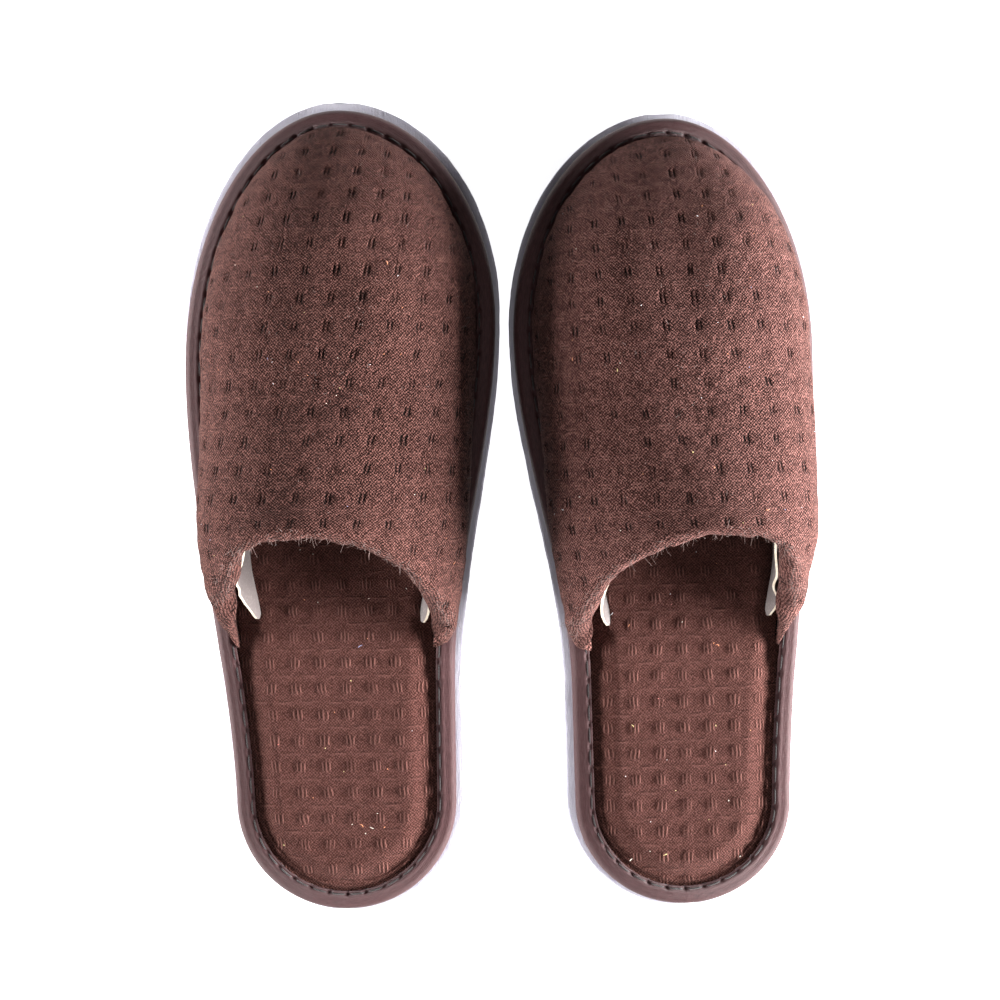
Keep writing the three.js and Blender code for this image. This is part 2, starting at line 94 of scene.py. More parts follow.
FOAM_OUT, FOAM_IN, LINING_OUT, LINING_IN, HEM_IN = 1.5, 4.0, 4.3, 5.1, 5.5
HEM_LENGTH = 12.0
CARD_BOTTOM, CARD_THICK, CARD_CURL, CARD_LEAN = 12.5, 1.0, 0.7, 3.5
CARD_REAR, CARD_FRONT, CARD_TAPER, CARD_SPREAD = 38.0, 26.0, 3.0, 1.8
CARD_FOOT_Y, CARD_TOP_Y, CARD_FRONT_Y = -43.5, -8.0, 55.0
CARD_GIRTH, CARD_LENGTH, CARD_ROUND = 130.0, 85.0, (3.5, 5.0)
GROOVE_PITCH, GROOVE_WIDTH, GROOVE_DEPTH, GROOVE_END = 12.0, 2.0, 1.0, 8.0
GROOVE_SOFT, GROOVE_RUN_OUT = 0.25, 0.6
SOLE_SOFT = (0.55, 0.75)


# ---- Small helpers -------------------------------------------------------------------------------

def mix(a, b, t):
    return a + (b - a) * t


def smooth(t):
    return t * t * (3 - 2 * t)


def ramp(t, low, high):
    return smooth(np.clip((t - low) / (high - low), 0, 1))


def noise(x, y, seed):
    """Smooth value noise between -1 and 1 on a unit lattice."""
    table = np.random.default_rng(seed).uniform(-1, 1, (64, 64))
    i, j = np.floor(x).astype(int), np.floor(y).astype(int)
    fx, fy = smooth(x - i), smooth(y - j)
    at = lambda a, b: table[(i + a) % 64, (j + b) % 64]
    return mix(mix(at(0, 0), at(1, 0), fx), mix(at(0, 1), at(1, 1), fx), fy)


def spline(knots, values, x):
    """Smooth curve through the knots."""
    values = np.asarray(values, float)
    slope = np.gradient(values, knots)
    i = np.clip(np.searchsorted(knots, x, side="right") - 1, 0, len(knots) - 2)
    h = knots[i + 1] - knots[i]
    t = (x - knots[i]) / h
    return ((2 * t**3 - 3 * t**2 + 1) * values[i] + (t**3 - 2 * t**2 + t) * h * slope[i]
            + (3 * t**2 - 2 * t**3) * values[i + 1] + (t**3 - t**2) * h * slope[i + 1])


def unit(v):
    return v / np.maximum(np.linalg.norm(v, axis=-1, keepdims=True), 1e-9)


class Skin:
    """One closed mesh, gathered patch by patch, with its UVs kept face by face."""

    def __init__(self, slipper):
        self.slipper, self.count = slipper, 0
        self.points, self.faces, self.uvs = [], [], []

    def add(self, points):
        flat = np.asarray(points, float).reshape(-1, 3)
        ids = np.arange(self.count, self.count + len(flat)).reshape(np.shape(points)[:-1])
        self.points.append(flat)
        self.count += len(flat)
        return ids

    def grid(self, ids, uv):
        corners = lambda g: np.stack([g[:-1, :-1], g[1:, :-1], g[1:, 1:], g[:-1, 1:]], 2)
        self.faces += corners(ids).reshape(-1, 4).tolist()
        self.uvs += corners(np.asarray(uv, float)).reshape(-1, 4, 2).tolist()

    def strip(self, a, b, uv=(0.0, 0.0)):
        """A closed band between two loops of the same length."""
        a, b = np.append(a, a[0]), np.append(b, b[0])
        self.grid(np.stack([a, b]), np.broadcast_to(np.array(uv, float), (2, len(a), 2)))

    def fan(self, ring, centre, uv=(0.0, 0.0)):
        for p, q in zip(ring, np.roll(ring, -1)):
            self.faces.append([int(p), int(q), int(centre)])
            self.uvs.append([list(uv)] * 3)

    def build(self, name, material, sharp=None):
        points = self.slipper.to_row(np.concatenate(self.points))
        mesh = bpy.data.meshes.new(name)
        mesh.from_pydata(points.tolist(), [], self.faces)
        layer = mesh.uv_layers.new(name="cloth")
        layer.data.foreach_set("uv", np.concatenate([np.array(u) for u in self.uvs]).ravel())
        bm = bmesh.new()
        bm.from_mesh(mesh)
        bmesh.ops.recalc_face_normals(bm, faces=bm.faces)
        if sharp:
            for edge in bm.edges:
                edge.smooth = edge.calc_face_angle(0) < sharp
        bm.to_mesh(mesh)
        bm.free()
        mesh.polygons.foreach_set("use_smooth", [True] * len(mesh.polygons))
        mesh.update()
        piece = bpy.data.objects.new(name, mesh)
        bpy.context.scene.collection.objects.link(piece)
        mesh.materials.append(material)
        return piece


# ---- One slipper's outline and vamp surface ------------------------------------------------------

class Slipper:
    def __init__(self, name):
        self.name = name
        self.__dict__.update(PAIR[name])
        self.offset = np.zeros(2)
        v, half = self.loop(600)
        rim = self.to_row(self.plan(v, half, -self.margin(v, half), 0.0))[:, :2]
        low, high = (np.array(corner[:2]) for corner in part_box(f"{name}_outsole"))
        self.offset = (low + high) / 2 - (rim.min(0) + rim.max(0)) / 2

    def to_row(self, points):
        p = np.asarray(points, float) / 1000
        x, y = p[..., 0] * self.outward, p[..., 1]
        c, s = math.cos(self.turn), math.sin(self.turn)
        return np.stack([c * x - s * y + self.offset[0], s * x + c * y + self.offset[1], p[..., 2]], -1)

    @staticmethod
    def pick(half, both):
        return np.where(half > 0, both[0], both[1])

    def edge(self, v, half):
        ball, ball_y = self.pick(half, self.ball), self.pick(half, self.ball_y)
        waist_y = self.pick(half, WAIST_Y)

        def width(y):
            return mix(self.heel_half, ball, smooth(np.clip((y - waist_y) / (ball_y - waist_y), 0, 1)))

        toe, heel, y_side = (v - 2) * np.pi / 2, v * np.pi / 2, mix(HEEL_Y, ball_y, v - 1)
        u = np.where(v >= 2, ball * np.cos(toe),
                     np.where(v >= 1, width(y_side), width(HEEL_Y) * np.sin(heel)))
        y = np.where(v >= 2, mix(ball_y, self.toe_reach, np.sin(toe)),
                     np.where(v >= 1, y_side, mix(HEEL_Y, -self.heel_reach, np.cos(heel))))
        return half * u, y

    def inset(self, v, half, distance):
        u0, y0 = self.edge(np.maximum(v - 0.002, 0), half)
        u1, y1 = self.edge(np.minimum(v + 0.002, 3), half)
        size = np.hypot(u1 - u0, y1 - y0)
        nu, ny = half * np.abs(y1 - y0) / size, -half * (u1 - u0) / size
        tip = (v <= 0) | (v >= 3)
        nu, ny = np.where(tip, 0, nu), np.where(tip, np.where(v <= 0, -1, 1), ny)
        u, y = self.edge(v, half)
        return u - nu * distance, y - ny * distance

    def plan(self, v, half, distance, z):
        u, y = self.inset(v, half, distance)
        return np.stack([u, y, np.broadcast_to(z, u.shape)], -1)

    def margin(self, v, half):
        waist, ball = self.pick(half, MARGIN), self.pick(half, BALL_MARGIN)
        toe = mix(ball, self.toe_margin, np.sin((v - 2) * np.pi / 2))
        side = mix(waist, ball, smooth(np.clip(v - 1, 0, 1)))
        return np.where(v >= 2, toe, np.where(v >= 1, side, mix(HEEL_MARGIN, waist, v)))

    def corner(self, half):
        return 1 + (CORNER_Y - HEEL_Y) / (self.pick(half, self.ball_y) - HEEL_Y)

    def loop(self, count):
        """v and half at even steps of length round the outline, from the heel up the lateral side."""
        v = np.linspace(0, 3, 1501)
        v = np.concatenate([v, v[-2:0:-1]])
        half = np.where(np.arange(len(v)) <= 1500, 1.0, -1.0)
        u, y = self.edge(v, half)
        step = np.hypot(np.diff(u, append=u[:1]), np.diff(y, append=y[:1]))
        run = np.concatenate([[0], np.cumsum(step)])
        where = np.linspace(0, run[-1], count, endpoint=False)
        at = np.interp(where, run, np.arange(len(run)))
        low = np.floor(at).astype(int) % len(v)
        high = (low + 1) % len(v)
        part = at - np.floor(at)
        half = half[low]
        half = np.where((v[low] >= 3) & (part > 0), -1.0, half)
        self.girth = run[-1]
        return mix(v[low], v[high], part), half

    def tape_top(self, v, half):
        start = mix(1, self.corner(half), 0.75)
        return mix(TAPE_HEEL, TAPE_TOE, smooth(np.clip((v - start) / (self.corner(half) - start), 0, 1)))

    # The vamp's outer surface: `along` the feather line from the throat's corner (0) by the ball (1)
    # to the toe (2), and the `rise` from the tape (0) to the ridge (1).
    def vamp(self, along, half, rise):
        w, d = np.minimum(along, 1), np.maximum(along - 1, 0)
        v = np.where(along <= 1, mix(self.corner(half), 2, along), 1 + along)
        foot_u, foot_y = self.inset(v, half, VAMP_INSET)
        ball_bulge = self.pick(half, (self.bulge_ball, 0.12))
        rear_bulge = self.pick(half, (self.bulge, 0.88))
        bulge = np.where(along <= 1, mix(rear_bulge, ball_bulge, smooth(w)),
                         mix(ball_bulge, 0.05, smooth(d)))
        steep = np.where(along <= 1, mix(self.pick(half, (0.9, 1.6)), 1.15, smooth(w)),
                         mix(1.15, 1.45, smooth(d)))
        turn = np.maximum(rise, 0) * np.pi / 2
        height = np.maximum(np.sin(turn), 1e-9) ** steep
        across = 1 - np.cos(turn) * (1 + bulge * np.sin(turn))
        back = mix(across, height, 1 - smooth(w))
        ridge = [mix(self.ridge_lean, DOME[0], w), mix(THROAT_TOP[0], DOME[1], w)]
        u, y = mix(foot_u, ridge[0], across), mix(foot_y, ridge[1], back)
        z = mix(SPRING_Z, mix(THROAT_TOP[1], DOME[2], w), height)
        pull = 1 - ramp(along, 0, 0.28)
        rows = [[spline(THROAT_KNOTS, self.throat_u[i], rise), spline(THROAT_KNOTS, self.throat_y[i], rise)]
                for i in (0, 1)]
        u = u + half * pull * np.where(half > 0, rows[0][0], rows[1][0])
        y = y + pull * np.where(half > 0, rows[0][1], rows[1][1])
        return np.stack([u, y, z], -1)

    def vamp_frame(self, along, half, rise):
        level = np.maximum(rise, 0)
        forward = (self.vamp(np.minimum(along + 0.01, 2), half, level)
                   - self.vamp(np.maximum(along - 0.01, 0), half, level))
        up = (self.vamp(along, half, np.minimum(level + 0.01, 1))
              - self.vamp(along, half, np.maximum(level - 0.01, 0)))
        normal = np.cross(forward, up) * half[..., None]
        normal[..., 2] *= ramp(level, -0.001, 0.03)
        return unit(normal), -unit(forward)

    def thin(self, along, rise):
        """The padding is skived thin at the seam and plump a little above it, most at the throat."""
        at_throat = 1 - ramp(along, 0, 0.3)
        foot = mix(0.32, 0.12, at_throat) * (1 - ramp(rise, 0, 0.16))
        plump = 0.7 * at_throat * ramp(rise, 0.06, 0.2) * (1 - ramp(rise, 0.32, 0.7))
        return foot + ramp(rise, 0, 0.16) + plump

    def vamp_at(self, along, half, rise, depth, turn=0.0, radius=0.0):
        normal, rearward = self.vamp_frame(along, half, rise)
        thin = self.thin(along, rise)[..., None]
        out = (radius * np.cos(turn) - depth)[..., None] * thin
        back = (radius * np.sin(turn))[..., None] * thin
        return self.vamp(along, half, rise) + normal * out + rearward * back, normal


# ---- Waffle cloth: relief in the mesh, in cloth millimetres --------------------------------------

VAMP_PITCH = (10.6, 9.5)
INSOLE_PITCH = (8.8, 9.05)


def bar(x, half, soft):
    return 1 - ramp(np.abs(x), half - soft, half + soft)


def cell(x, pitch):
    return x - np.round(x / pitch) * pitch


def vamp_relief(u, v, lean, seed):
    """The back of the cloth: pairs of sunk strokes, with short raised floats midway between them."""
    c = u - lean * v
    x, y = cell(c, VAMP_PITCH[0]), cell(v, VAMP_PITCH[1])
    pit = (bar(x - 0.75, 0.45, 0.4) + bar(x + 0.75, 0.45, 0.4)) * bar(y, 1.9, 0.8)
    xm, ym = cell(c - VAMP_PITCH[0] / 2, VAMP_PITCH[0]), cell(v - VAMP_PITCH[1] / 2, VAMP_PITCH[1])
    raised = bar(xm, 2.0, 0.8) * (bar(ym - 0.7, 0.4, 0.4) + bar(ym + 0.7, 0.4, 0.4))
    pillow = np.cos(2 * np.pi * c / VAMP_PITCH[0]) * np.cos(2 * np.pi * v / VAMP_PITCH[1])
    return (-0.3 * pit + 0.14 * raised - 0.1 * pillow + 0.3 * noise(u / 17, v / 17, seed)
            + 0.09 * noise(u / 2.4, v / 2.4, seed + 1))


def insole_relief(u, v, lean, phase, seed):
    """The face of the cloth: raised bumps of a few strands, and dashed cross ridges between rows."""
    c, w = u - lean * v - phase[0], v - phase[1]
    across, down = INSOLE_PITCH
    x, y = cell(c, across), cell(w, down)
    xm, ym = cell(c - across / 2, across), cell(w - down / 2, down)
    strands = 0.7 + 0.3 * np.cos(2 * np.pi * x / 1.25)
    bump = np.exp(-((x / 1.75) ** 4)) * np.exp(-((y / 2.15) ** 4)) * strands
    dash = bar(xm, 2.6, 1.2) * (np.exp(-((ym / 0.55) ** 2)) - 0.7 * np.exp(-(((ym - 1.1) / 0.5) ** 2)))
    ridge = 0.35 * np.exp(-((ym / 0.9) ** 2))
    return (0.55 * bump + 0.09 * dash + 0.03 * ridge + 0.2 * noise(u / 21, v / 21, seed)
            + 0.07 * noise(u / 2.1, v / 2.1, seed + 1))


# ---- Materials -----------------------------------------------------------------------------------

class Nodes:
    """A short way to write shader maths."""

    def __init__(self, name, slot_finish):
        self.material = bpy.data.materials.new(name)
        self.material.use_nodes = True
        self.tree = self.material.node_tree
        self.shader = self.tree.nodes["Principled BSDF"]
        for key, value in slot_finish.items():
            self.shader.inputs[key].default_value = value

    def put(self, socket, value):
        if hasattr(value, "is_output"):
            self.tree.links.new(value, socket)
        else:
            socket.default_value = value

    def math(self, operation, *values):
        node = self.tree.nodes.new("ShaderNodeMath")
        node.operation = operation
        for socket, value in zip(node.inputs, values):
            self.put(socket, value)
        return node.outputs[0]

    def add(self, a, b):
        return self.math("ADD", a, b)

    def mul(self, a, b):
        return self.math("MULTIPLY", a, b)

    def uv(self):
        """The cloth coordinates, in millimetres."""
        node = self.tree.nodes.new("ShaderNodeUVMap")
        node.uv_map = "cloth"
        split = self.tree.nodes.new("ShaderNodeSeparateXYZ")
        self.put(split.inputs[0], node.outputs[0])
        return self.mul(split.outputs[0], 1000.0), self.mul(split.outputs[1], 1000.0)

    def place(self, x, y, z=0.0):
        node = self.tree.nodes.new("ShaderNodeCombineXYZ")
        for socket, value in zip(node.inputs, (x, y, z)):
            self.put(socket, value)
        return node.outputs[0]

    def object_place(self):
        return self.tree.nodes.new("ShaderNodeTexCoord").outputs["Object"]

    def noise(self, vector, scale, detail=2.0, rough=0.5):
        node = self.tree.nodes.new("ShaderNodeTexNoise")
        self.put(node.inputs["Vector"], vector)
        node.inputs["Scale"].default_value = scale
        node.inputs["Detail"].default_value = detail
        node.inputs["Roughness"].default_value = rough
        return node.outputs["Fac"]

    def voronoi(self, vector, scale):
        node = self.tree.nodes.new("ShaderNodeTexVoronoi")
        self.put(node.inputs["Vector"], vector)
        node.inputs["Scale"].default_value = scale
        return node.outputs["Distance"]

    def white(self, vector):
        node = self.tree.nodes.new("ShaderNodeTexWhiteNoise")
        node.noise_dimensions = "2D"
        self.put(node.inputs["Vector"], vector)
        return node.outputs["Value"]

    def span(self, value, low, high, to_low=0.0, to_high=1.0):
        node = self.tree.nodes.new("ShaderNodeMapRange")
        node.interpolation_type = "SMOOTHSTEP"
        for key, item in zip(("Value", "From Min", "From Max", "To Min", "To Max"),
                             (value, low, high, to_low, to_high)):
            self.put(node.inputs[key], item)
        return node.outputs[0]

    def bar(self, x, half, soft):
        return self.span(self.math("ABSOLUTE", x), half - soft, half + soft, 1.0, 0.0)

    def cell(self, x, pitch):
        whole = self.math("ROUND", self.math("DIVIDE", x, pitch))
        return self.math("SUBTRACT", x, self.mul(whole, pitch)), whole

    def wave(self, x, pitch):
        return self.math("SINE", self.mul(x, 2 * math.pi / pitch))

    def blend(self, factor, a, b):
        node = self.tree.nodes.new("ShaderNodeMix")
        node.data_type = "RGBA"
        self.put(node.inputs[0], factor)
        for socket, value in ((node.inputs[6], a), (node.inputs[7], b)):
            self.put(socket, value if hasattr(value, "is_output") else (*value, 1.0))
        return node.outputs[2]

    def ramp(self, factor, stops):
        node = self.tree.nodes.new("ShaderNodeValToRGB")
        self.put(node.inputs[0], factor)
        elements = node.color_ramp.elements
        while len(elements) < len(stops):
            elements.new(0.5)
        for element, (position, colour) in zip(elements, stops):
            element.position = position
            element.color = (*colour, 1.0)
        return node.outputs[0]

    def finish(self, colour, height, millimetres, rough=None):
        self.put(self.shader.inputs["Base Color"], colour)
        bump = self.tree.nodes.new("ShaderNodeBump")
        bump.inputs["Strength"].default_value = 1.0
        bump.inputs["Distance"].default_value = millimetres / 1000
        self.put(bump.inputs["Height"], height)
        self.put(self.shader.inputs["Normal"], bump.outputs[0])
        if rough is not None:
            self.put(self.shader.inputs["Roughness"], rough)
        return self.material


CLOTH_FINISH = {"Roughness": 0.95, "Sheen Weight": 0.03, "Sheen Roughness": 0.5,
                "Specular IOR Level": 0.06}


def weave(n, u, v, pitch):
    """Plain weave: threads over and under, slightly uneven, with a fuzz of fine noise."""
    drift = n.noise(n.place(u, v), 0.45, 3.0)
    du = n.add(u, n.mul(drift, 1.6))
    dv = n.add(v, n.mul(n.noise(n.place(v, u, 7.0), 0.45, 3.0), 1.6))
    checks = n.mul(n.wave(du, 2 * pitch), n.wave(dv, 2 * pitch))
    grain = n.noise(n.place(u, v, 3.0), 1.5, 3.0, 0.75)
    threads = n.add(n.add(n.mul(checks, 0.55), 0.5), n.mul(n.add(grain, -0.5), 2.6))
    return threads, grain


def waffle_cloth(name, slipper, face, tones):
    """face 'back' is the side on the vamp, with sunk strokes; 'front' is the side on the insole."""
    n = Nodes(name, CLOTH_FINISH)
    u, v = n.uv()
    threads, grain = weave(n, u, v, 0.56)
    # The pattern wanders a little, as a stretched cloth's does.
    pu = n.add(u, n.mul(n.add(n.noise(n.place(u, v, 21.0), 0.16, 2.0), -0.5), 1.8))
    pv = n.add(v, n.mul(n.add(n.noise(n.place(u, v, 31.0), 0.16, 2.0), -0.5), 1.8))
    if face == "back":
        c = n.add(pu, n.mul(pv, -slipper.lean))
        (x, i), (y, j) = n.cell(c, VAMP_PITCH[0]), n.cell(pv, VAMP_PITCH[1])
        chance = n.span(n.white(n.place(i, j)), 0.0, 0.7, 0.3, 1.0)
        strokes = n.add(n.bar(n.add(x, 0.7), 0.3, 0.28), n.bar(n.add(x, -0.7), 0.3, 0.28))
        sunk = n.mul(n.mul(strokes, n.bar(y, 1.6, 0.8)), chance)
        xm, _ = n.cell(n.add(c, VAMP_PITCH[0] / 2), VAMP_PITCH[0])
        ym, _ = n.cell(n.add(pv, VAMP_PITCH[1] / 2), VAMP_PITCH[1])
        floats = n.add(n.bar(n.add(ym, 0.55), 0.24, 0.24), n.bar(n.add(ym, -0.55), 0.24, 0.24))
        proud = n.mul(n.mul(n.bar(xm, 1.8, 0.8), floats), 0.55)
        gaps, depth, lit = 0.0, 0.95, 0.4
    else:
        across, down = INSOLE_PITCH
        c = n.add(n.add(pu, n.mul(pv, -slipper.insole_lean)), -slipper.insole_phase[0])
        w = n.add(pv, -slipper.insole_phase[1])
        (x, i), (y, j) = n.cell(c, across), n.cell(w, down)
        chance = n.span(n.white(n.place(i, j)), 0.0, 0.7, 0.45, 1.0)
        strand = n.span(n.wave(n.add(x, 0.31), 1.25), -0.3, 0.9)
        waist = n.add(2.0, n.mul(n.math("ABSOLUTE", x), -0.45))
        tall = n.span(n.math("SUBTRACT", n.math("ABSOLUTE", y), waist), -0.6, 0.4, 1.0, 0.0)
        proud = n.mul(n.mul(n.mul(strand, n.bar(x, 2.1, 0.5)), tall), chance)
        xm, k = n.cell(n.add(c, across / 2), across)
        ym, m = n.cell(n.add(w, down / 2), down)
        dash = n.mul(n.bar(xm, 2.4, 1.0), n.span(n.white(n.place(k, m, 5.0)), 0.0, 0.8, 0.3, 1.0))
        sunk = n.mul(n.mul(dash, n.bar(n.add(ym, -0.5), 0.24, 0.24)), 0.42)
        proud = n.add(proud, n.mul(n.mul(dash, n.bar(n.add(ym, 0.2), 0.3, 0.28)), 0.4))
        gaps = n.mul(n.mul(n.mul(n.add(1.0, n.mul(strand, -1.0)), n.bar(x, 2.1, 0.5)), tall), chance)
        depth, lit = 0.6, 0.75
    height = n.add(threads, n.add(n.mul(sunk, -1.6), n.mul(proud, 1.3)))
    cloud = n.noise(n.place(u, v, 11.0), 0.06, 3.0)
    base = n.blend(n.span(cloud, 0.3, 0.7), tones[0], tones[1])
    # Painted shade and painted highlight: low threads are darkened toward the near-black third tone and
    # high threads are lightened toward the light fourth tone, following the bump's height.
    tone = n.blend(n.mul(n.span(threads, 0.0, 0.6, 1.0, 0.0), 0.95), base, tones[2])
    tone = n.blend(n.mul(n.span(threads, 0.5, 1.15), 0.95), tone, tones[3])
    # Painted shade in the sunk strokes and in the gaps between a bump's strands, and painted highlight
    # (lit) on the raised floats and bumps.
    tone = n.blend(n.mul(sunk, depth), tone, [0.35 * t for t in tones[2]])
    tone = n.blend(n.mul(gaps, 0.6), tone, tones[2])
    tone = n.blend(n.mul(proud, lit), tone, [1.25 * t for t in tones[3]])
    return n.finish(tone, height, 0.35, n.span(grain, 0.2, 0.8, 0.88, 1.0))


def plain_cloth(name, tones):
    n = Nodes(name, CLOTH_FINISH)
    u, v = n.uv()
    threads, grain = weave(n, u, v, 0.3)
    # Painted shade: the low threads darken toward the near-black third tone; the fourth tone lightens where
    # the grain noise is high, partly grain and partly painted highlight, as that noise also raises the
    # bump.
    tone = n.blend(n.span(threads, 0.2, 1.1), tones[2], tones[0])
    tone = n.blend(n.mul(n.span(grain, 0.5, 0.8), 0.4), tone, tones[3])
    return n.finish(tone, threads, 0.15)


def tape_cloth(name, dark, light):
    """Satin tape: fine ribs across it, a slow painted sheen along it as lighter streaks, and small lighter
    flecks over it.
    """
    n = Nodes(name, {"Roughness": 0.5, "Sheen Weight": 0.12, "Sheen Roughness": 0.3,
                     "Specular IOR Level": 0.25})
    u, v = n.uv()
    rib = n.wave(n.add(u, n.mul(n.noise(n.place(u, v), 0.8), 0.5)), 0.42)
    sheen_streak = n.noise(n.place(n.mul(u, 0.35), n.mul(v, 3.2)), 1.0, 3.0)
    grain = n.noise(n.place(u, v, 5.0), 3.0, 2.0, 0.7)
    # Painted sheen: the tape is lighter along slow streaks, standing for the satin's sheen; the same
    # streaks also raise the bump.
    tone = n.blend(n.span(sheen_streak, 0.3, 0.75), dark, light)
    tone = n.blend(n.mul(n.span(grain, 0.55, 0.8), 0.35), tone, [1.7 * t for t in light])
    height = n.add(n.add(n.mul(rib, 0.35), n.mul(sheen_streak, 1.2)), n.mul(grain, 0.5))
    return n.finish(tone, height, 0.1, n.span(grain, 0.2, 0.8, 0.42, 0.66))


def thread_cloth(name, colour):
    n = Nodes(name, {"Roughness": 0.6, "Sheen Weight": 0.3, "Specular IOR Level": 0.3})
    u, v = n.uv()
    twist = n.wave(n.add(u, n.mul(v, 0.8)), 0.5)
    # Painted shade: the thread darkens in its twist's grooves, following the bump.
    tone = n.blend(n.span(twist, -0.6, 0.8), [0.5 * t for t in colour], colour)
    return n.finish(tone, twist, 0.08)


def sole_foam(name):
    n = Nodes(name, {"Roughness": 0.72, "Specular IOR Level": 0.3, "Subsurface Weight": 0.08,
                     "Subsurface Radius": (0.004, 0.004, 0.005), "Subsurface Scale": 1.0})
    place = n.object_place()
    cells = n.voronoi(place, 2600.0)
    cut = n.noise(place, 260.0, 4.0, 0.65)
    u, v = n.uv()
    striae = n.noise(n.place(n.mul(u, 1.6), n.mul(v, 0.2)), 1.0, 4.0, 0.7)
    scuff = n.span(n.noise(place, 38.0, 3.0), 0.52, 0.75)
    tone = n.blend(scuff, (0.50, 0.482, 0.55), (0.43, 0.41, 0.475))
    tone = n.blend(n.mul(n.span(cells, 0.0, 0.35, 1.0, 0.0), 0.25), tone, (0.48, 0.46, 0.53))
    height = n.add(n.add(n.mul(cells, 0.4), n.mul(cut, 1.4)), n.mul(striae, 1.8))
    return n.finish(tone, height, 0.22, n.span(cut, 0.3, 0.7, 0.6, 0.82))


def pressed_board(name):
    n = Nodes(name, {"Roughness": 0.85})
    place = n.object_place()
    fibre = n.noise(place, 900.0, 5.0, 0.7)
    tone = n.blend(n.span(fibre, 0.35, 0.65), (0.42, 0.36, 0.3), (0.6, 0.54, 0.46))
    return n.finish(tone, fibre, 0.15)


def padding_foam(name):
    n = Nodes(name, {"Roughness": 0.95})
    cells = n.voronoi(n.object_place(), 1400.0)
    # Painted shade: the foam darkens toward each cell's centre, where the bump sinks into a pore.
    tone = n.blend(n.span(cells, 0.0, 0.5), (0.5, 0.46, 0.38), (0.82, 0.79, 0.7))
    return n.finish(tone, cells, 0.4)


def card_stock(name):
    """Off-white card with its face painted a dark grey as painted shade for the hollow it sits in, a little
    worn, and a rough cream cut edge (v past its face).
    """
    n = Nodes(name, {"Roughness": 0.62, "Specular IOR Level": 0.35})
    u, v = n.uv()
    place = n.object_place()
    fibre = n.noise(place, 1500.0, 4.0, 0.7)
    cloud = n.noise(place, 60.0, 3.0)
    # Painted shade: the face tones are a dark grey, well below the off-white card's own colour, for the
    # shade inside the vamp where the card sits.
    face = n.blend(n.span(cloud, 0.3, 0.7), (0.12, 0.099, 0.096), (0.155, 0.129, 0.124))
    face = n.blend(n.mul(n.span(fibre, 0.5, 0.7), 0.4), face, (0.33, 0.28, 0.26))
    rim = n.span(n.noise(place, 700.0, 3.0), 0.3, 0.7)
    edge = n.blend(rim, (0.66, 0.55, 0.42), (0.8, 0.72, 0.6))
    tone = n.blend(n.span(u, 0.4, 0.6), face, edge)
    return n.finish(tone, fibre, 0.07)


LINT = [(0.85, 0.3, 0.12), (0.8, 0.72, 0.62), (0.75, 0.6, 0.25), (0.85, 0.82, 0.85),
        (0.55, 0.12, 0.1), (0.2, 0.24, 0.45)]


def lint_fibre(name, stops):
    n = Nodes(name, {"Roughness": 0.8, "Sheen Weight": 0.2})
    u, v = n.uv()
    tone = n.ramp(n.mul(u, 0.001), stops)
    grain = n.noise(n.object_place(), 4000.0)
    tone = n.blend(n.mul(n.span(grain, 0.4, 0.8), 0.4), tone, (0.5, 0.4, 0.35))
    return n.finish(tone, grain, 0.03)


# ---- Pieces --------------------------------------------------------------------------------------

def finish_piece(piece, body, slot, *nodes):
    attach(piece, body)
    if nodes:
        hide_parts(*nodes)


def half_widths(s, inset, count):
    """Rows across the plan: y of each row with its medial and lateral u, a distance inside the edge."""
    v = np.linspace(0, 3, 3001)
    sides = [s.inset(v, np.full_like(v, half), inset(v, half) if callable(inset) else inset)
             for half in (1.0, -1.0)]
    low = max(side[1].min() for side in sides)
    high = min(side[1].max() for side in sides)
    t = np.linspace(0, 1, count)
    even = mix(t, (1 - np.cos(np.pi * t)) / 2, 0.12)
    y = mix(low, high, even)
    lateral, medial = (np.interp(y, side[1][np.argsort(side[1])], side[0][np.argsort(side[1])])
                       for side in sides)
    return y, medial, lateral


def plan_grid(s, inset, rows, columns):
    """A grid over the plan, without the two pinched end rows; their tips come back as points."""
    y, medial, lateral = half_widths(s, inset, rows + 2)
    t = np.linspace(0, 1, columns)
    even = mix(t, (1 - np.cos(np.pi * t)) / 2, 0.25)
    u = mix(medial[1:-1, None], lateral[1:-1, None], even)
    tips = np.array([[(medial[k] + lateral[k]) / 2, y[k]] for k in (0, -1)])
    return u, np.broadcast_to(y[1:-1, None], u.shape), tips


def edge_distance(s, u, y):
    """How far inside the slipper's outline each point is."""
    v, half = s.loop(900)
    rim_u, rim_y = s.inset(v, half, 0.0)
    best = np.full(u.size, 1e9)
    for a, b in zip(rim_u, rim_y):
        best = np.minimum(best, (u.ravel() - a) ** 2 + (y.ravel() - b) ** 2)
    return np.sqrt(best).reshape(u.shape)


def rim_of(ids):
    return np.concatenate([ids[0, :-1], ids[:-1, -1], ids[-1, :0:-1], ids[:0:-1, 0]])


def capped_grid(skin, u, y, z, tips, tip_z, uv):
    """Adds the grid with its two tips, and gives the ids of its rim, tips included."""
    ids = skin.add(np.stack([u, y, z], -1))
    skin.grid(ids, uv)
    ends = skin.add(np.array([[*tips[0], tip_z], [*tips[1], tip_z]]))
    for end, row in ((ends[0], ids[0]), (ends[1], ids[-1])):
        for a, b in zip(row[:-1], row[1:]):
            skin.faces.append([int(a), int(b), int(end)])
            skin.uvs.append([[0.0, 0.0]] * 3)
    return np.concatenate([[ends[0]], ids[:, -1], [ends[1]], ids[::-1, 0]])


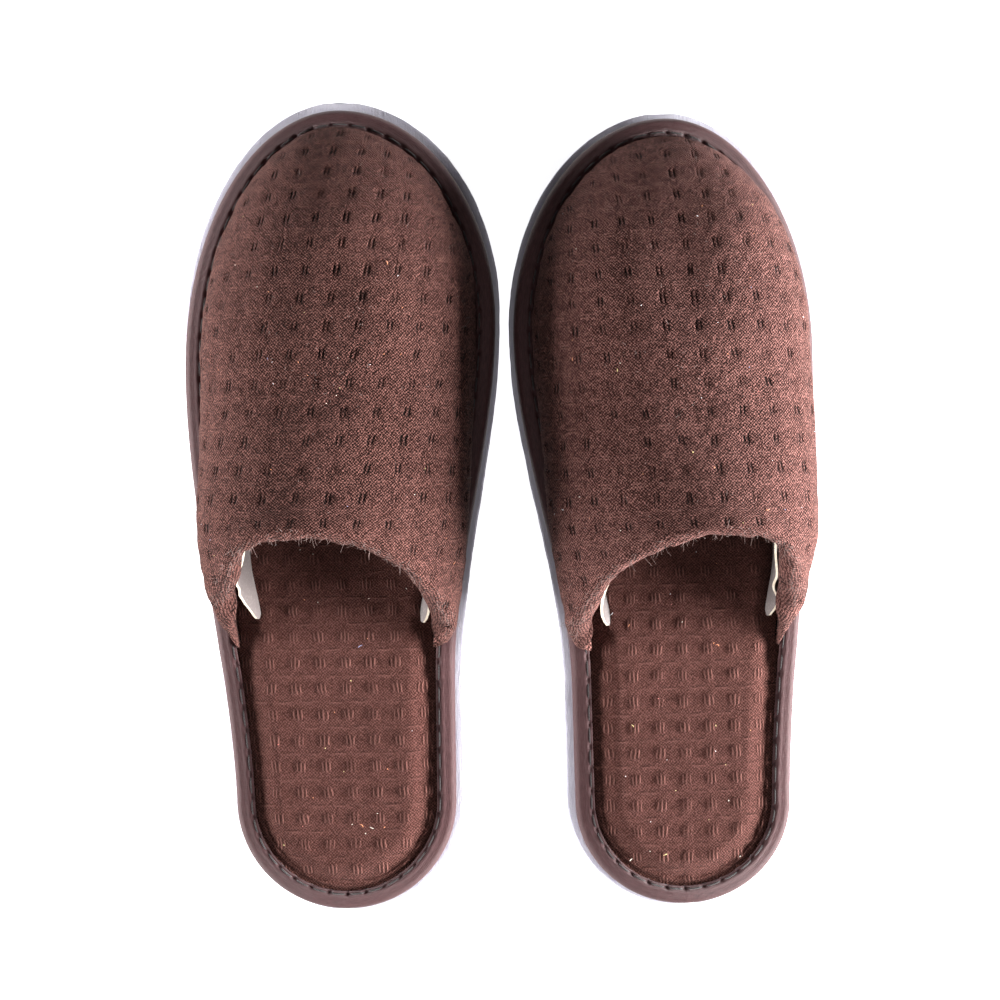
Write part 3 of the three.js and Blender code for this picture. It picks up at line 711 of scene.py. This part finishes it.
def outsole(s, material):
    """White foam slab with softened, hand-cut edges and two fields of grip grooves underneath."""
    out = lambda v, half: -s.margin(v, np.full_like(v, half))
    rows, columns = 520, 44
    groove_at = lambda y: sum(bar(y - g, GROOVE_WIDTH / 2, GROOVE_SOFT) for g in grooves)
    grooves = []
    y = DOME[1]
    while y < s.toe_reach - GROOVE_END:
        grooves.append(y)
        y += GROOVE_PITCH
    y = HEEL_Y + 2 * GROOVE_PITCH
    while y > GROOVE_END - s.heel_reach:
        grooves.append(y)
        y -= GROOVE_PITCH
    skin = Skin(s)
    u, y, tips = plan_grid(s, out, rows, columns)
    sunk = groove_at(y) * GROOVE_DEPTH
    uv = np.stack([u, y], -1) / 1000
    # The cut edge's height and how far it is drawn in, between the underside and the top.
    layers = [(0.55, 0.12), (1.6, 0.0), (3.4, 0.05), (4.4, 0.12), (4.85, 0.35)]
    below = capped_grid(skin, *shrink(u, y, SOLE_SOFT[0]), sunk,
                        shrink_tips(tips, SOLE_SOFT[0]), 0.0, uv)
    above = capped_grid(skin, *shrink(u, y, SOLE_SOFT[1]), np.full(u.shape, SOLE),
                        shrink_tips(tips, SOLE_SOFT[1]), SOLE, uv)
    ring_u = np.concatenate([[tips[0][0]], u[:, -1], [tips[1][0]], u[::-1, 0]])
    ring_y = np.concatenate([[tips[0][1]], y[:, -1], [tips[1][1]], y[::-1, 0]])
    run = np.concatenate([[0], np.cumsum(np.hypot(np.diff(ring_u), np.diff(ring_y)))])
    centre = np.array([0.0, -4.0])
    nu, ny = ring_u - centre[0], ring_y - centre[1]
    size = np.hypot(nu, ny)
    nu, ny = nu / size, ny / size
    cut = 0.16 * noise(run / 9, run * 0, s.seed) + 0.07 * noise(run / 2.3, run * 0, s.seed + 5)
    previous = below
    for z, drop in layers:
        lean = 0.12 * noise(run / 5, run * 0 + z, s.seed + 9)
        inward = drop - cut - lean
        # Grip grooves run out through the edge.
        height = z + (groove_at(ring_y) if z < GROOVE_DEPTH else 0) * GROOVE_RUN_OUT
        ring = skin.add(np.stack([ring_u - nu * inward, ring_y - ny * inward,
                                  np.broadcast_to(height, ring_u.shape)], -1))
        band(skin, previous, ring, run, z)
        previous = ring
    band(skin, previous, above, run, SOLE)
    return skin.build(f"{s.name}_outsole_foam", material, sharp=1.1)


def shrink(u, y, distance):
    """Moves a plan grid inwards by a small distance at its rim."""
    reach = np.maximum(np.abs(u[:, [0]]), np.abs(u[:, [-1]]))
    return u * (1 - distance / np.maximum(reach, 4 * distance)), y


def shrink_tips(tips, distance):
    return np.array([[tips[0][0], tips[0][1] + distance], [tips[1][0], tips[1][1] - distance]])


def band(skin, a, b, run, z):
    a, b = np.append(a, a[0]), np.append(b, b[0])
    along = np.append(run, run[-1] + 1)
    uv = np.stack([np.stack([along, np.full_like(along, z - 1)], -1),
                   np.stack([along, np.full_like(along, z)], -1)]) / 1000
    skin.grid(np.stack([a, b]), uv)


def insole_cover(s, material):
    """Waffle cloth over the padding: flat under the tape, with a thin fold just inside the stitches."""
    skin = Skin(s)
    u, y, tips = plan_grid(s, COVER_EDGE, 450, 150)
    d = edge_distance(s, u, y)
    toe = TOE_ROOM * ramp(y, 50, s.toe_reach - 20)
    flat = d - toe
    rise = ramp(flat, COVER_RISE - 4.6, COVER_RISE + COVER_SLOPE + 1.5)
    heel = 1 - ramp(y, -120, -60)
    fold_at = TAPE_WIDTH + 1.1 + 0.9 * heel + 0.25 * noise(u / 6, y / 6, s.seed + 3)
    behind = 1 - ramp(y, CORNER_Y - 2, CORNER_Y + 4)
    fold = np.exp(-(((d - fold_at) / 0.42) ** 2)) * (0.55 + 0.25 * noise(u / 4, y / 4, s.seed)) * behind
    dip = -0.35 * np.exp(-(((d - TAPE_WIDTH) / 0.7) ** 2)) * behind
    relief = (insole_relief(u, y, s.insole_lean, s.insole_phase, s.seed)
              * ramp(d, TAPE_WIDTH + 0.2, TAPE_WIDTH + 3.5))
    limit = np.where(d < TAPE_WIDTH + 0.3, 0.0, 1.0)
    z = COVER_MARGIN + (COVER_TOP - COVER_MARGIN) * rise + limit * (fold + dip) + relief
    z = np.where(y > CORNER_Y, np.minimum(z, COVER_TOP + 0.25), z)
    uv = np.stack([u, y], -1) / 1000
    top = capped_grid(skin, u, y, z, tips, COVER_MARGIN, uv)
    rim = np.concatenate(skin.points)[top]
    under = rim.copy()
    under[:, 2] = COVER_BOTTOM
    low = skin.add(under)
    skin.strip(top, low)
    inner = under * np.array([0.72, 0.86, 1.0])
    inner_ids = skin.add(inner)
    skin.strip(low, inner_ids)
    lifted = under * np.array([0.6, 0.8, 1.0])
    lifted[:, 2] = COVER_BOTTOM + COVER_HOLLOW
    lifted_ids = skin.add(lifted)
    skin.strip(inner_ids, lifted_ids)
    centre = skin.add(np.array([[0.0, 0.0, COVER_BOTTOM + COVER_HOLLOW]]))
    skin.fan(lifted_ids, centre[0])
    return skin.build(f"{s.name}_insole_cloth", material)


def insole_pad(s, material):
    """The padding under the insole's cloth, a low pillow of rings."""
    skin = Skin(s)
    v, half = s.loop(260)
    inset = COVER_RISE + COVER_SLOPE + 0.6 + TOE_ROOM * smooth(np.maximum(v - 2, 0))
    rings = [(4.5, COVER_BOTTOM), (0.3, COVER_BOTTOM), (0.0, COVER_BOTTOM + 0.7),
             (0.9, COVER_BOTTOM + 2.1), (4.0, COVER_BOTTOM + 2.7)]
    ids = [skin.add(s.plan(v, half, inset + more, z)) for more, z in rings]
    for a, b in zip(ids[:-1], ids[1:]):
        skin.strip(a, b)
    ends = skin.add(np.array([[0, 0, COVER_BOTTOM], [0, 0, COVER_BOTTOM + 2.8]], float))
    skin.fan(ids[0], ends[0])
    skin.fan(ids[-1], ends[1])
    return skin.build(f"{s.name}_insole_padding", material)


def tape_profile(top, pucker, inner_edge):
    """Points round the folded tape from its top inner edge, round the outside, to the bottom edge."""
    t = np.linspace(0, 1, 9)[:, None]
    half = (top - TAPE_BOTTOM) / 2
    middle = TAPE_BOTTOM + half
    angle = np.linspace(np.pi / 2, 3 * np.pi / 2, 17)[:, None]
    roll_x = TAPE_ROLL + TAPE_ROLL * np.cos(angle)
    roll_z = middle + (half + 0.15) * np.sin(angle)
    leg_x = mix(inner_edge, 3.35, t)
    crown = TAPE_CROWN * np.sin(np.pi * t)
    seam = np.exp(-(((leg_x - STITCH_INSET) / 0.55) ** 2))
    leg_z = top + 0.15 * t + crown - seam * (0.15 + 0.95 * pucker)
    low_t = np.linspace(0, 1, 4)[1:, None]
    low_x = mix(TAPE_ROLL, TAPE_WIDTH, low_t)
    low_z = np.full_like(low_x, TAPE_BOTTOM - 0.15) + 0.15 * low_t
    everywhere = lambda rows: np.broadcast_to(rows, (len(rows), len(pucker)))
    x = np.concatenate([leg_x, everywhere(roll_x[1:]), everywhere(low_x)])
    z = np.concatenate([leg_z, everywhere(roll_z[1:]), everywhere(low_z)])
    return x, z


def binding_tape(s, material):
    """A bias-folded satin tape rolled over the sole's edge, puckered at every stitch."""
    skin = Skin(s)
    count = 620
    v, half = s.loop(count)
    run = np.arange(count) * s.girth / count
    stitches = round(s.girth / STITCH_PITCH)
    phase = run / s.girth * stitches
    pucker = np.exp(-((cell(phase, 1.0) / 0.1) ** 2))
    top = s.tape_top(v, half)
    wander = 0.22 * noise(run / 13, run * 0, s.seed + 2)
    inner_edge = TAPE_WIDTH + wander * 0.5 - 0.25 * pucker
    x, z = tape_profile(top, pucker, inner_edge)
    plump = 0.1 * noise(run / 7, run * 0, s.seed + 4) * np.sin(np.linspace(0, np.pi, len(x)))[:, None]
    z = z + np.where(x > 0.4, plump, 0)
    # The inside of the tape follows the outside one cloth thickness in.
    dx, dz = np.gradient(x, axis=0), np.gradient(z, axis=0)
    size = np.hypot(dx, dz)
    ix, iz = x + dz / size * -TAPE_THICK, z + dx / size * TAPE_THICK
    ring_x, ring_z = np.concatenate([x, ix[::-1]]), np.concatenate([z, iz[::-1]])
    u, y = s.inset(v[None, :], half[None, :], ring_x)
    ids = skin.add(np.stack([u, y, ring_z], -1))
    ids = np.concatenate([ids, ids[:, :1]], 1)
    ids = np.concatenate([ids, ids[:1]], 0)
    across = np.concatenate([[0], np.cumsum(np.hypot(np.diff(ring_x[:, 0]), np.diff(ring_z[:, 0])))])
    across = np.append(across, across[-1] + TAPE_THICK)
    along = np.append(run, s.girth)
    uv = np.stack(np.broadcast_arrays(along[None, :], across[:, None]), -1) / 1000
    skin.grid(ids, uv)
    return skin.build(f"{s.name}_binding_satin", material)


def tube(skin, path, radii, sides, uv_x=None):
    """A closed tube along a short path, pinched at both ends."""
    path = np.asarray(path, float)
    direction = unit(np.gradient(path, axis=0))
    side = unit(np.cross(direction, np.array([0.13, 0.21, 1.0])))
    up = np.cross(side, direction)
    angle = np.linspace(0, 2 * np.pi, sides, endpoint=False)
    ring = (np.cos(angle)[None, :, None] * side[:, None] + np.sin(angle)[None, :, None] * up[:, None])
    ids = skin.add(path[:, None] + ring * np.asarray(radii, float)[:, None, None])
    ids = np.concatenate([ids, ids[:, :1]], 1)
    run = np.concatenate([[0], np.cumsum(np.linalg.norm(np.diff(path, axis=0), axis=1))])
    uv = np.stack(np.broadcast_arrays(run[:, None], np.arange(sides + 1)[None, :] * 0.3), -1) / 1000
    if uv_x is not None:
        uv = np.stack([np.full(ids.shape, uv_x), np.zeros(ids.shape)], -1)
    skin.grid(ids, uv)
    ends = skin.add(path[[0, -1]])
    spot = (uv_x or 0.0, 0.0)
    skin.fan(ids[0, :-1], ends[0], spot)
    skin.fan(ids[-1, :-1], ends[1], spot)


def stitching(s, material):
    """Lockstitches along the tape's inner edge: each lies on the tape and dives at both needle holes."""
    skin = Skin(s)
    stitches = round(s.girth / STITCH_PITCH)
    v, half = s.loop(stitches * 12)
    top = s.tape_top(v, half)
    path = s.plan(v, half, STITCH_INSET, 0.0)
    path[:, 2] = top
    for k in range(stitches):
        ids = (np.arange(1, 12) + 12 * k) % len(path)
        t = np.linspace(-1, 1, 11)
        points = path[ids].copy()
        points[:, 2] += 0.42 - 1.15 * np.abs(t) ** 5
        tube(skin, points, 0.24 - 0.1 * np.abs(t) ** 4, 6)
    return skin.build(f"{s.name}_binding_thread", material)


# ---- The vamp's layers ---------------------------------------------------------------------------

SIDE_ROWS, RISES, TOE_SPOKES, FOLD_ROWS, HEM_ROWS = 112, 104, 112, 12, 10


def foot_rows(s, along, half, z, inset):
    v = np.where(along <= 1, mix(s.corner(half), 2, along), 1 + along)
    return s.plan(v, half, inset, z)


def cloth_coordinates(s, points, half, along):
    """Unrolls each arch or spoke from the ridge: points run from the foot (0) to the ridge (-1)."""
    step = np.diff(points[:, ::-1], axis=1)
    g = ramp(along, 1, 2)[:, None]
    du = mix(half * np.hypot(step[..., 0], step[..., 2]), step[..., 0], g)
    dv = np.where(g > 0, np.sqrt(step[..., 1] ** 2 + g * step[..., 2] ** 2), step[..., 1])
    w = np.minimum(along, 1)
    fall = math.hypot(DOME[1] - THROAT_TOP[0], DOME[2] - THROAT_TOP[1])
    u0, v0 = mix(s.ridge_lean, DOME[0], w)[:, None], (DOME[1] - fall * (1 - w))[:, None]
    u = np.concatenate([u0, u0 + np.cumsum(du, 1)], 1)
    v = np.concatenate([v0, v0 + np.cumsum(dv, 1)], 1)
    return np.stack([u, v], -1)[:, ::-1]


def vamp_shell(s, rows, rises, spokes, flange, relief=None, waves=None):
    """A skin over the vamp between an outer and an inner face, as rows of arches and a fan of spokes.

    rows is a list of (along, turn, outer depth, outer radius, inner depth, inner radius, slack)."""
    skin = Skin(s)
    rise = np.linspace(0, 1, rises)
    along = np.array([row[0] for row in rows])
    turn = np.array([row[1] for row in rows])
    slack = np.array([row[6] for row in rows])
    on_wall = slack == 0
    toe = np.linspace(1, 2, spokes + 1)
    borders = []

    def surface(face, a, h, r, depth, turn, radius, uv):
        """Points of one face, with the cloth's sags and relief on the outer one."""
        points, normal = s.vamp_at(a, h, r, depth, turn, radius)
        if face == 0 and waves is not None:
            points = points + waves(points, uv, a, h, r, turn)
        if face == 0 and relief is not None:
            _, rearward = s.vamp_frame(a, h, r)
            lift = relief(uv[..., 0] * s.outward, uv[..., 1]) * ramp(r, 0.0, 0.07)
            out = normal * np.cos(turn)[..., None] + rearward * np.sin(turn)[..., None]
            points = points + out * lift[..., None]
        return points

    def skirt(face, points, along, halves, on_wall):
        """Two more rows below the foot: the sewn flange, or a layer's tucked edge."""
        low, end = points[:, 0].copy(), points[:, 0].copy()
        if flange:
            low[:, 2], end[:, 2] = FLANGE_BOTTOM + TUCK, FLANGE_BOTTOM
            level, inset = ((FLANGE_TOP, VAMP_INSET), (FLANGE_BOTTOM, VAMP_INSET + CLOTH))[face]
            low = np.where(on_wall[:, None], foot_rows(s, along, halves, level, inset), low)
            end = np.where(on_wall[:, None], foot_rows(s, along, halves, level, FLANGE_EDGE), end)
        else:
            low[:, 2] -= TUCK
            end[:, 2] -= 2 * TUCK
        return np.concatenate([end[:, None], low[:, None], points], 1)

    for face in (0, 1):
        depth = np.array([row[2 + 2 * face] for row in rows])
        radius = np.array([row[3 + 2 * face] for row in rows])
        halves, uv_halves = [], []
        for half in (1.0, -1.0):
            a, r = np.broadcast_arrays(along[:, None], rise[None, :])
            h = np.full(a.shape, half)
            uv = cloth_coordinates(s, s.vamp(a, h, r), half, along)
            uv[..., 1] -= slack[:, None] * np.where(slack[:, None] < 20, s.thin(a, r), 1.0)
            points = surface(face, a, h, r, depth[:, None], turn[:, None], radius[:, None], uv)
            points = skirt(face, points, along, np.full(along.shape, half), on_wall)
            foot = uv[:, :1] + np.array([half * 1.5, 0.0])
            far = uv[:, :1] + np.array([half * 7.0, 0.0])
            halves.append(points)
            uv_halves.append(np.concatenate([far, foot, uv], 1))
        grid = np.concatenate([halves[0], halves[1][:, -2::-1]], 1)
        uv_grid = np.concatenate([uv_halves[0], uv_halves[1][:, -2::-1]], 1)
        arches = skin.add(grid)
        uv_grid = uv_grid * np.array([s.outward, 1.0]) / 1000
        skin.grid(arches, uv_grid)
        crown = arches.shape[1] // 2
        # The toe: spokes from the lateral side round to the medial side, all meeting at the crown.
        fan_a = np.concatenate([toe[1:], toe[-2:0:-1]])
        fan_h = np.concatenate([np.ones(spokes), -np.ones(spokes - 1)])
        a, r = np.broadcast_arrays(fan_a[:, None], rise[None, :])
        h = np.broadcast_to(fan_h[:, None], a.shape)
        uv = cloth_coordinates(s, s.vamp(a, h, r), fan_h[:, None], fan_a)
        none = np.zeros(a.shape)
        points = surface(face, a, h, r, np.full(a.shape, depth[-1]), none, none, uv)
        points = skirt(face, points, fan_a, fan_h, np.full(fan_a.shape, True))
        down = np.stack([fan_h * np.cos((fan_a - 1) * np.pi / 2), np.sin((fan_a - 1) * np.pi / 2)], -1)
        uv = np.concatenate([uv[:, :1] + 7.0 * down[:, None], uv[:, :1] + 1.5 * down[:, None], uv], 1)
        ids = skin.add(points[:, :-1])
        uv = uv[:, :-1] * np.array([s.outward, 1.0]) / 1000
        first, last = arches[-1, :crown], arches[-1, :crown:-1]
        first_uv, last_uv = uv_grid[-1, :crown], uv_grid[-1, :crown:-1]
        fan = np.concatenate([first[None], ids, last[None]], 0)
        fan_uv = np.concatenate([first_uv[None], uv, last_uv[None]], 0)
        skin.grid(fan, fan_uv)
        peak, peak_uv = arches[-1, crown], uv_grid[-1, crown]
        for i in range(len(fan) - 1):
            skin.faces.append([int(fan[i, -1]), int(peak), int(fan[i + 1, -1])])
            skin.uvs.append([fan_uv[i, -1].tolist(), peak_uv.tolist(), fan_uv[i + 1, -1].tolist()])
        borders.append(np.concatenate([
            arches[:, 0], ids[:, 0], arches[::-1, -1], arches[0, -2:0:-1],
        ]))
    skin.strip(borders[0], borders[1])
    return skin


def vamp_cloth(s, material):
    radius = HEM_IN / 2
    share = HEM_LENGTH / (s.ball_y[0] - CORNER_Y)
    reach = 62.0
    rows = []
    for t in np.linspace(1, 0, HEM_ROWS)[:-1]:
        rows.append((share * t, math.pi, radius, radius, radius, radius - CLOTH,
                     math.pi * radius + 2 * share * t * reach))
    for t in np.linspace(1, 0, FOLD_ROWS + 1):
        rows.append((0.0, t * math.pi, radius, radius, radius, radius - CLOTH,
                     max(math.pi * radius * t, 1e-6)))
    for t in np.linspace(0, 1, SIDE_ROWS + 1)[1:]:
        rows.append((t, 0.0, 0.0, 0.0, CLOTH, 0.0, 0.0))

    def relief(u, v):
        return vamp_relief(u, v, s.lean, s.seed)

    def waves(points, uv, a, h, r, turn):
        """Soft sags of the padding, pleats above the tape and a scalloped throat edge."""
        x, y = points[..., 0], points[..., 1]
        out = np.zeros(points.shape)
        spread = ramp(r, 0.03, 0.3)
        out[..., 2] += 0.55 * spread * noise(x / 23 + 5, y / 23, s.seed + 6)
        pleat = noise(uv[..., 1] / 5.5 + 40 * (h > 0), a * 22, s.seed + 7)
        out[..., 0] += h * 0.45 * pleat * ramp(r, 0.0, 0.06) * (1 - ramp(r, 0.1, 0.4))
        edge = 1 - ramp(a, 0.0, 0.06)
        scallop = 0.55 * noise(uv[..., 0] / 4.6 + 9, uv[..., 0] * 0, s.seed + 8)
        scallop += 0.3 * noise(uv[..., 0] / 1.7 + 3, uv[..., 0] * 0, s.seed + 9)
        out[..., 1] += scallop * edge * ramp(r, 0.05, 0.3) * np.sin(np.clip(turn, 0, np.pi))
        return out

    skin = vamp_shell(s, rows, RISES, TOE_SPOKES, True, relief, waves)
    return skin.build(f"{s.name}_vamp_cloth", material)


def vamp_layer(s, name, outer, inner, start, material):
    rows = [(t, 0.0, outer, 0.0, inner, 0.0, 0.0) for t in mix(start, 1.0, np.linspace(0, 1, 37))]
    skin = vamp_shell(s, rows, 48, 36, False)
    return skin.build(name, material)


def throat_room(s):
    """The clear half-width inside the throat's hem at each height, lateral and medial."""
    rise = np.linspace(0, 1, 200)
    rooms = []
    for half in (1.0, -1.0):
        h, a = np.full_like(rise, half), np.zeros_like(rise)
        inner, _ = s.vamp_at(a, h, rise, np.full_like(rise, HEM_IN))
        z, order = inner[:, 2], np.argsort(inner[:, 2])
        rooms.append((z[order], (half * inner[:, 0])[order]))
    return rooms


def shaper(s, material):
    """A sprung card arch, splayed to the front, with rounded corners and a ragged cut edge."""
    skin = Skin(s)
    rows, columns = 60, 120
    tip_u, _ = s.inset(s.corner(np.array(-1.0)), np.array(-1.0), VAMP_INSET + HEM_IN)
    tip = abs(float(tip_u)) + CARD_SPREAD
    rooms = throat_room(s)
    faces = []
    foot = np.linspace(0, 1, columns)
    t = np.linspace(0, 1, rows)[:, None]
    # Rounded corners: the rear and front edges draw back near the two feet.
    near = np.minimum(foot, 1 - foot) * CARD_GIRTH
    rounded = lambda r: r - np.sqrt(np.maximum(r**2 - np.maximum(r - near, 0) ** 2, 0))
    ragged = (0.22 * noise(foot * 60, foot * 0, s.seed + 12)
              + 0.12 * noise(foot * 190, foot * 0, s.seed + 13))
    start = (rounded(CARD_ROUND[0]) + ragged) / CARD_LENGTH
    stop = 1 - (rounded(CARD_ROUND[1]) + ragged) / CARD_LENGTH
    along = mix(start[None, :], stop[None, :], t)
    turn = np.broadcast_to(foot * np.pi, along.shape)
    for depth in (0.0, CARD_THICK * 0.75):
        steep = np.where(turn < np.pi / 2, 0.9, 1.6)
        height = np.maximum(np.sin(turn), 0) ** steep
        splay = CARD_TAPER * (along + ramp(along, 0.0, 0.25))
        width = tip + splay - depth
        rise = mix(CARD_REAR, CARD_FRONT, along) - depth
        across = np.cos(turn) * (1 + CARD_CURL * np.sin(turn))
        u = s.card_offset + width * across + CARD_LEAN * np.sin(turn)
        y = mix(mix(CARD_FOOT_Y, CARD_TOP_Y, height), CARD_FRONT_Y, along)
        z = CARD_BOTTOM + rise * height
        for i, half in enumerate((1.0, -1.0)):
            room = np.interp(z, *rooms[i]) + splay - 0.5 - depth
            side = (half * u > 0) & (height < 0.93)
            u = np.where(side & (half * u > room), half * room, u)
        faces.append(np.stack([u, y, z], -1))
    outer, inner = skin.add(faces[0]), skin.add(faces[1])
    blank = np.zeros((*along.shape, 2))
    skin.grid(outer, blank)
    skin.grid(inner, blank)
    skin.strip(rim_of(outer), rim_of(inner), (0.001, 0.0))
    return skin.build(f"{s.name}_shaper_card", material, sharp=0.9)


HAIRS, EDGE_HAIRS = 420, 230
SPECKS, VAMP_SPECKS = 64, 38


def fuzz(s, material):
    """Loose fibre ends along the throat's edge and fine hairs over the cloth."""
    skin = Skin(s)
    rng = np.random.default_rng(s.seed + 60)
    for k in range(HAIRS):
        on_edge = k < EDGE_HAIRS
        half = rng.choice([1.0, -1.0])
        rise = rng.uniform(0.25, 1.0)
        along = 0.0 if on_edge else rng.uniform(0.02, 1.9)
        a, h, r = (np.array([q]) for q in (along, half, rise))
        turn = rng.uniform(0.2, 1.4) if on_edge else 0.0
        fold = np.array([HEM_IN / 2 if on_edge else 0.0])
        base, normal = s.vamp_at(a, h, r, fold, turn, fold)
        _, rearward = s.vamp_frame(a, h, r)
        out = unit(normal[0] * math.cos(turn) + rearward[0] * math.sin(turn))
        side = rng.normal(0, 0.7, 3)
        length = rng.uniform(0.8, 2.6) if on_edge else rng.uniform(0.6, 1.5)
        t = np.linspace(0, 1, 4)[:, None]
        path = base[0] + length * (t * (out + side * 0.5) + t**2 * rng.normal(0, 0.45, 3))
        tube(skin, path, np.array([0.05, 0.05, 0.045, 0.03]), 3, 0.05)
    return skin.build(f"{s.name}_cloth_fuzz", material)


def lint(s, material):
    """Specks of coloured lint caught in the cloth."""
    skin = Skin(s)
    rng = np.random.default_rng(s.seed + 80)
    for k in range(SPECKS):
        if k < VAMP_SPECKS:
            a, h, r = (np.array([q]) for q in (rng.uniform(0.02, 1.9), rng.choice([1.0, -1.0]),
                                                rng.uniform(0.2, 0.98)))
            base, normal = s.vamp_at(a, h, r, np.array([-0.35]))
            base, normal = base[0], normal[0]
        else:
            y = rng.uniform(-128, -10)
            base = np.array([rng.uniform(-24, 24), y, COVER_TOP + 0.55])
            normal = np.array([0.0, 0.0, 1.0])
        side = unit(np.cross(normal, rng.normal(0, 1, 3)))
        length = rng.uniform(0.25, 0.6) if rng.random() < 0.85 else rng.uniform(1.0, 1.8)
        t = np.linspace(-0.5, 0.5, 4)[:, None]
        bend = np.cross(side, normal) * rng.normal(0, 0.5)
        path = base + side * length * t + bend * length * t**2
        width = rng.uniform(0.09, 0.15)
        tube(skin, path, np.array([0.5, 1.0, 0.9, 0.4]) * width, 5, rng.choice(
            [0.05, 0.25, 0.42, 0.58, 0.75, 0.92], p=[0.26, 0.22, 0.18, 0.18, 0.1, 0.06]))
    return skin.build(f"{s.name}_lint", material)


# ---- Assembly ------------------------------------------------------------------------------------

# In each list: two cloth tones that vary at random, a near-black tone used as painted shade in the weave's
# hollows, and a light tone used as painted highlight on its raised threads.
VAMP_TONES_RIGHT_PAINTED_LIGHTER = {
    "left": [(0.056, 0.0205, 0.0165), (0.068, 0.026, 0.021), (0.009, 0.003, 0.002), (0.26, 0.118, 0.10)],
    # Painted light: the right slipper's tones are about a fifth lighter than the left's, for the stronger
    # softbox on its side; the pair is one cloth.
    "right": [(0.068, 0.0255, 0.021), (0.084, 0.033, 0.028), (0.010, 0.003, 0.002), (0.31, 0.145, 0.125)],
}
INSOLE_TONES = [(0.074, 0.027, 0.0215), (0.087, 0.033, 0.027), (0.036, 0.012, 0.009), (0.150, 0.064, 0.053)]
LINING_TONES = [(0.055, 0.026, 0.022), (0.065, 0.03, 0.026), (0.025, 0.011, 0.009), (0.1, 0.055, 0.05)]

foam_white = sole_foam("sole_foam")
padding = padding_foam("padding")
lining_cloth = plain_cloth("lining_cloth", LINING_TONES)
satin = tape_cloth("binding_tape", (0.043, 0.016, 0.0165), (0.072, 0.029, 0.031))
thread = thread_cloth("thread", (0.018, 0.008, 0.008))
card = card_stock("shaper_card")
board = pressed_board("board")
hairs = lint_fibre("loose_fibres", [(0.0, (0.16, 0.09, 0.08)), (1.0, (0.2, 0.12, 0.1))])
specks = lint_fibre("lint_specks", [(i / len(LINT), colour) for i, colour in enumerate(LINT)])
specks.node_tree.nodes["Color Ramp"].color_ramp.interpolation = "CONSTANT"

for side in ("left", "right"):
    s = Slipper(side)
    body, shaper_body = f"{side}_slipper", f"{side}_shaper"
    vamp_waffle = waffle_cloth(f"{side}_vamp_waffle", s, "back", VAMP_TONES_RIGHT_PAINTED_LIGHTER[side])
    insole_waffle = waffle_cloth(f"{side}_insole_waffle", s, "front", INSOLE_TONES)

    finish_piece(outsole(s, foam_white), body, "sole_foam", f"{side}_outsole")

    pad = insole_pad(s, padding)
    finish_piece(pad, body, "padding", f"{side}_insole_foam")

    cover = insole_cover(s, insole_waffle)
    finish_piece(cover, body, "waffle_cloth", f"{side}_insole_cover")

    tape = binding_tape(s, satin)
    finish_piece(tape, body, "binding_tape", f"{side}_binding_tape")

    finish_piece(stitching(s, thread), body, "thread", f"{side}_binding_stitching")

    cloth = vamp_cloth(s, vamp_waffle)
    finish_piece(cloth, body, "waffle_cloth", f"{side}_vamp_cover")

    stuffing = vamp_layer(s, f"{side}_vamp_padding", FOAM_OUT, FOAM_IN, 0.0, padding)
    finish_piece(stuffing, body, "padding", f"{side}_vamp_foam")

    share = (HEM_LENGTH + 0.6) / (s.ball_y[0] - CORNER_Y)
    lining = vamp_layer(s, f"{side}_vamp_inner_cloth", LINING_OUT, LINING_IN, share, lining_cloth)
    finish_piece(lining, body, "lining_cloth", f"{side}_vamp_lining")

    finish_piece(shaper(s, card), shaper_body, "shaper_card", f"{side}_vamp_shaper")
    finish_piece(fuzz(s, hairs), body, "waffle_cloth")
    finish_piece(lint(s, specks), body, "waffle_cloth")

    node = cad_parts[f"{side}_insole_board"]
    node.data.materials.clear()
    node.data.materials.append(board)

# ---- Floor, light and camera ---------------------------------------------------------------------

FLOOR_HALF = 3
LIT = (0.0, 0.0, 0.02)  # what the softboxes point at
CAMERA_PLACE = (0.00032, 0.0021, 0.545)

floor_mesh = bpy.data.meshes.new("floor")
corners = [(x * FLOOR_HALF, y * FLOOR_HALF, 0) for x, y in ((-1, -1), (1, -1), (1, 1), (-1, 1))]
floor_mesh.from_pydata(corners, [], [[0, 1, 2, 3]])
floor = bpy.data.objects.new("floor", floor_mesh)
bpy.context.scene.collection.objects.link(floor)
ground = Nodes("pale_floor", {"Roughness": 0.9, "Specular IOR Level": 0.1})
ground.shader.inputs["Base Color"].default_value = (0.93, 0.93, 0.935, 1.0)
ground.shader.inputs["Emission Color"].default_value = (1.0, 1.0, 1.0, 1.0)
ground.shader.inputs["Emission Strength"].default_value = 0.8
floor_mesh.materials.append(ground.material)


def softbox(name, place, size, power):
    lamp = bpy.data.lights.new(name, "AREA")
    lamp.shape = "RECTANGLE"
    lamp.size, lamp.size_y = size
    lamp.energy = power
    light = bpy.data.objects.new(name, lamp)
    bpy.context.scene.collection.objects.link(light)
    light.location = place
    light.rotation_euler = (Vector(LIT) - Vector(place)).to_track_quat("-Z", "Y").to_euler()


softbox("softbox_right", (1.15, -0.2, 0.22), (0.8, 0.34), 106.0)
softbox("softbox_left", (-1.15, -0.2, 0.22), (0.8, 0.34), 46.0)
softbox("softbox_heel", (0.0, -1.15, 0.85), (1.0, 0.7), 8.0)

world = bpy.data.worlds.new("studio")
world.use_nodes = True
world.node_tree.nodes["Background"].inputs["Color"].default_value = (1.0, 1.0, 1.0, 1.0)
world.node_tree.nodes["Background"].inputs["Strength"].default_value = 0.13
bpy.context.scene.world = world
bpy.context.scene.view_settings.view_transform = "Standard"

camera_data = bpy.data.cameras.new("camera")
camera_data.lens, camera_data.sensor_width = 55.0, 36.0
camera = bpy.data.objects.new("camera", camera_data)
bpy.context.scene.collection.objects.link(camera)
camera.location = CAMERA_PLACE
camera.rotation_euler = (0.0, 0.0, 0.0)
bpy.context.scene.camera = camera
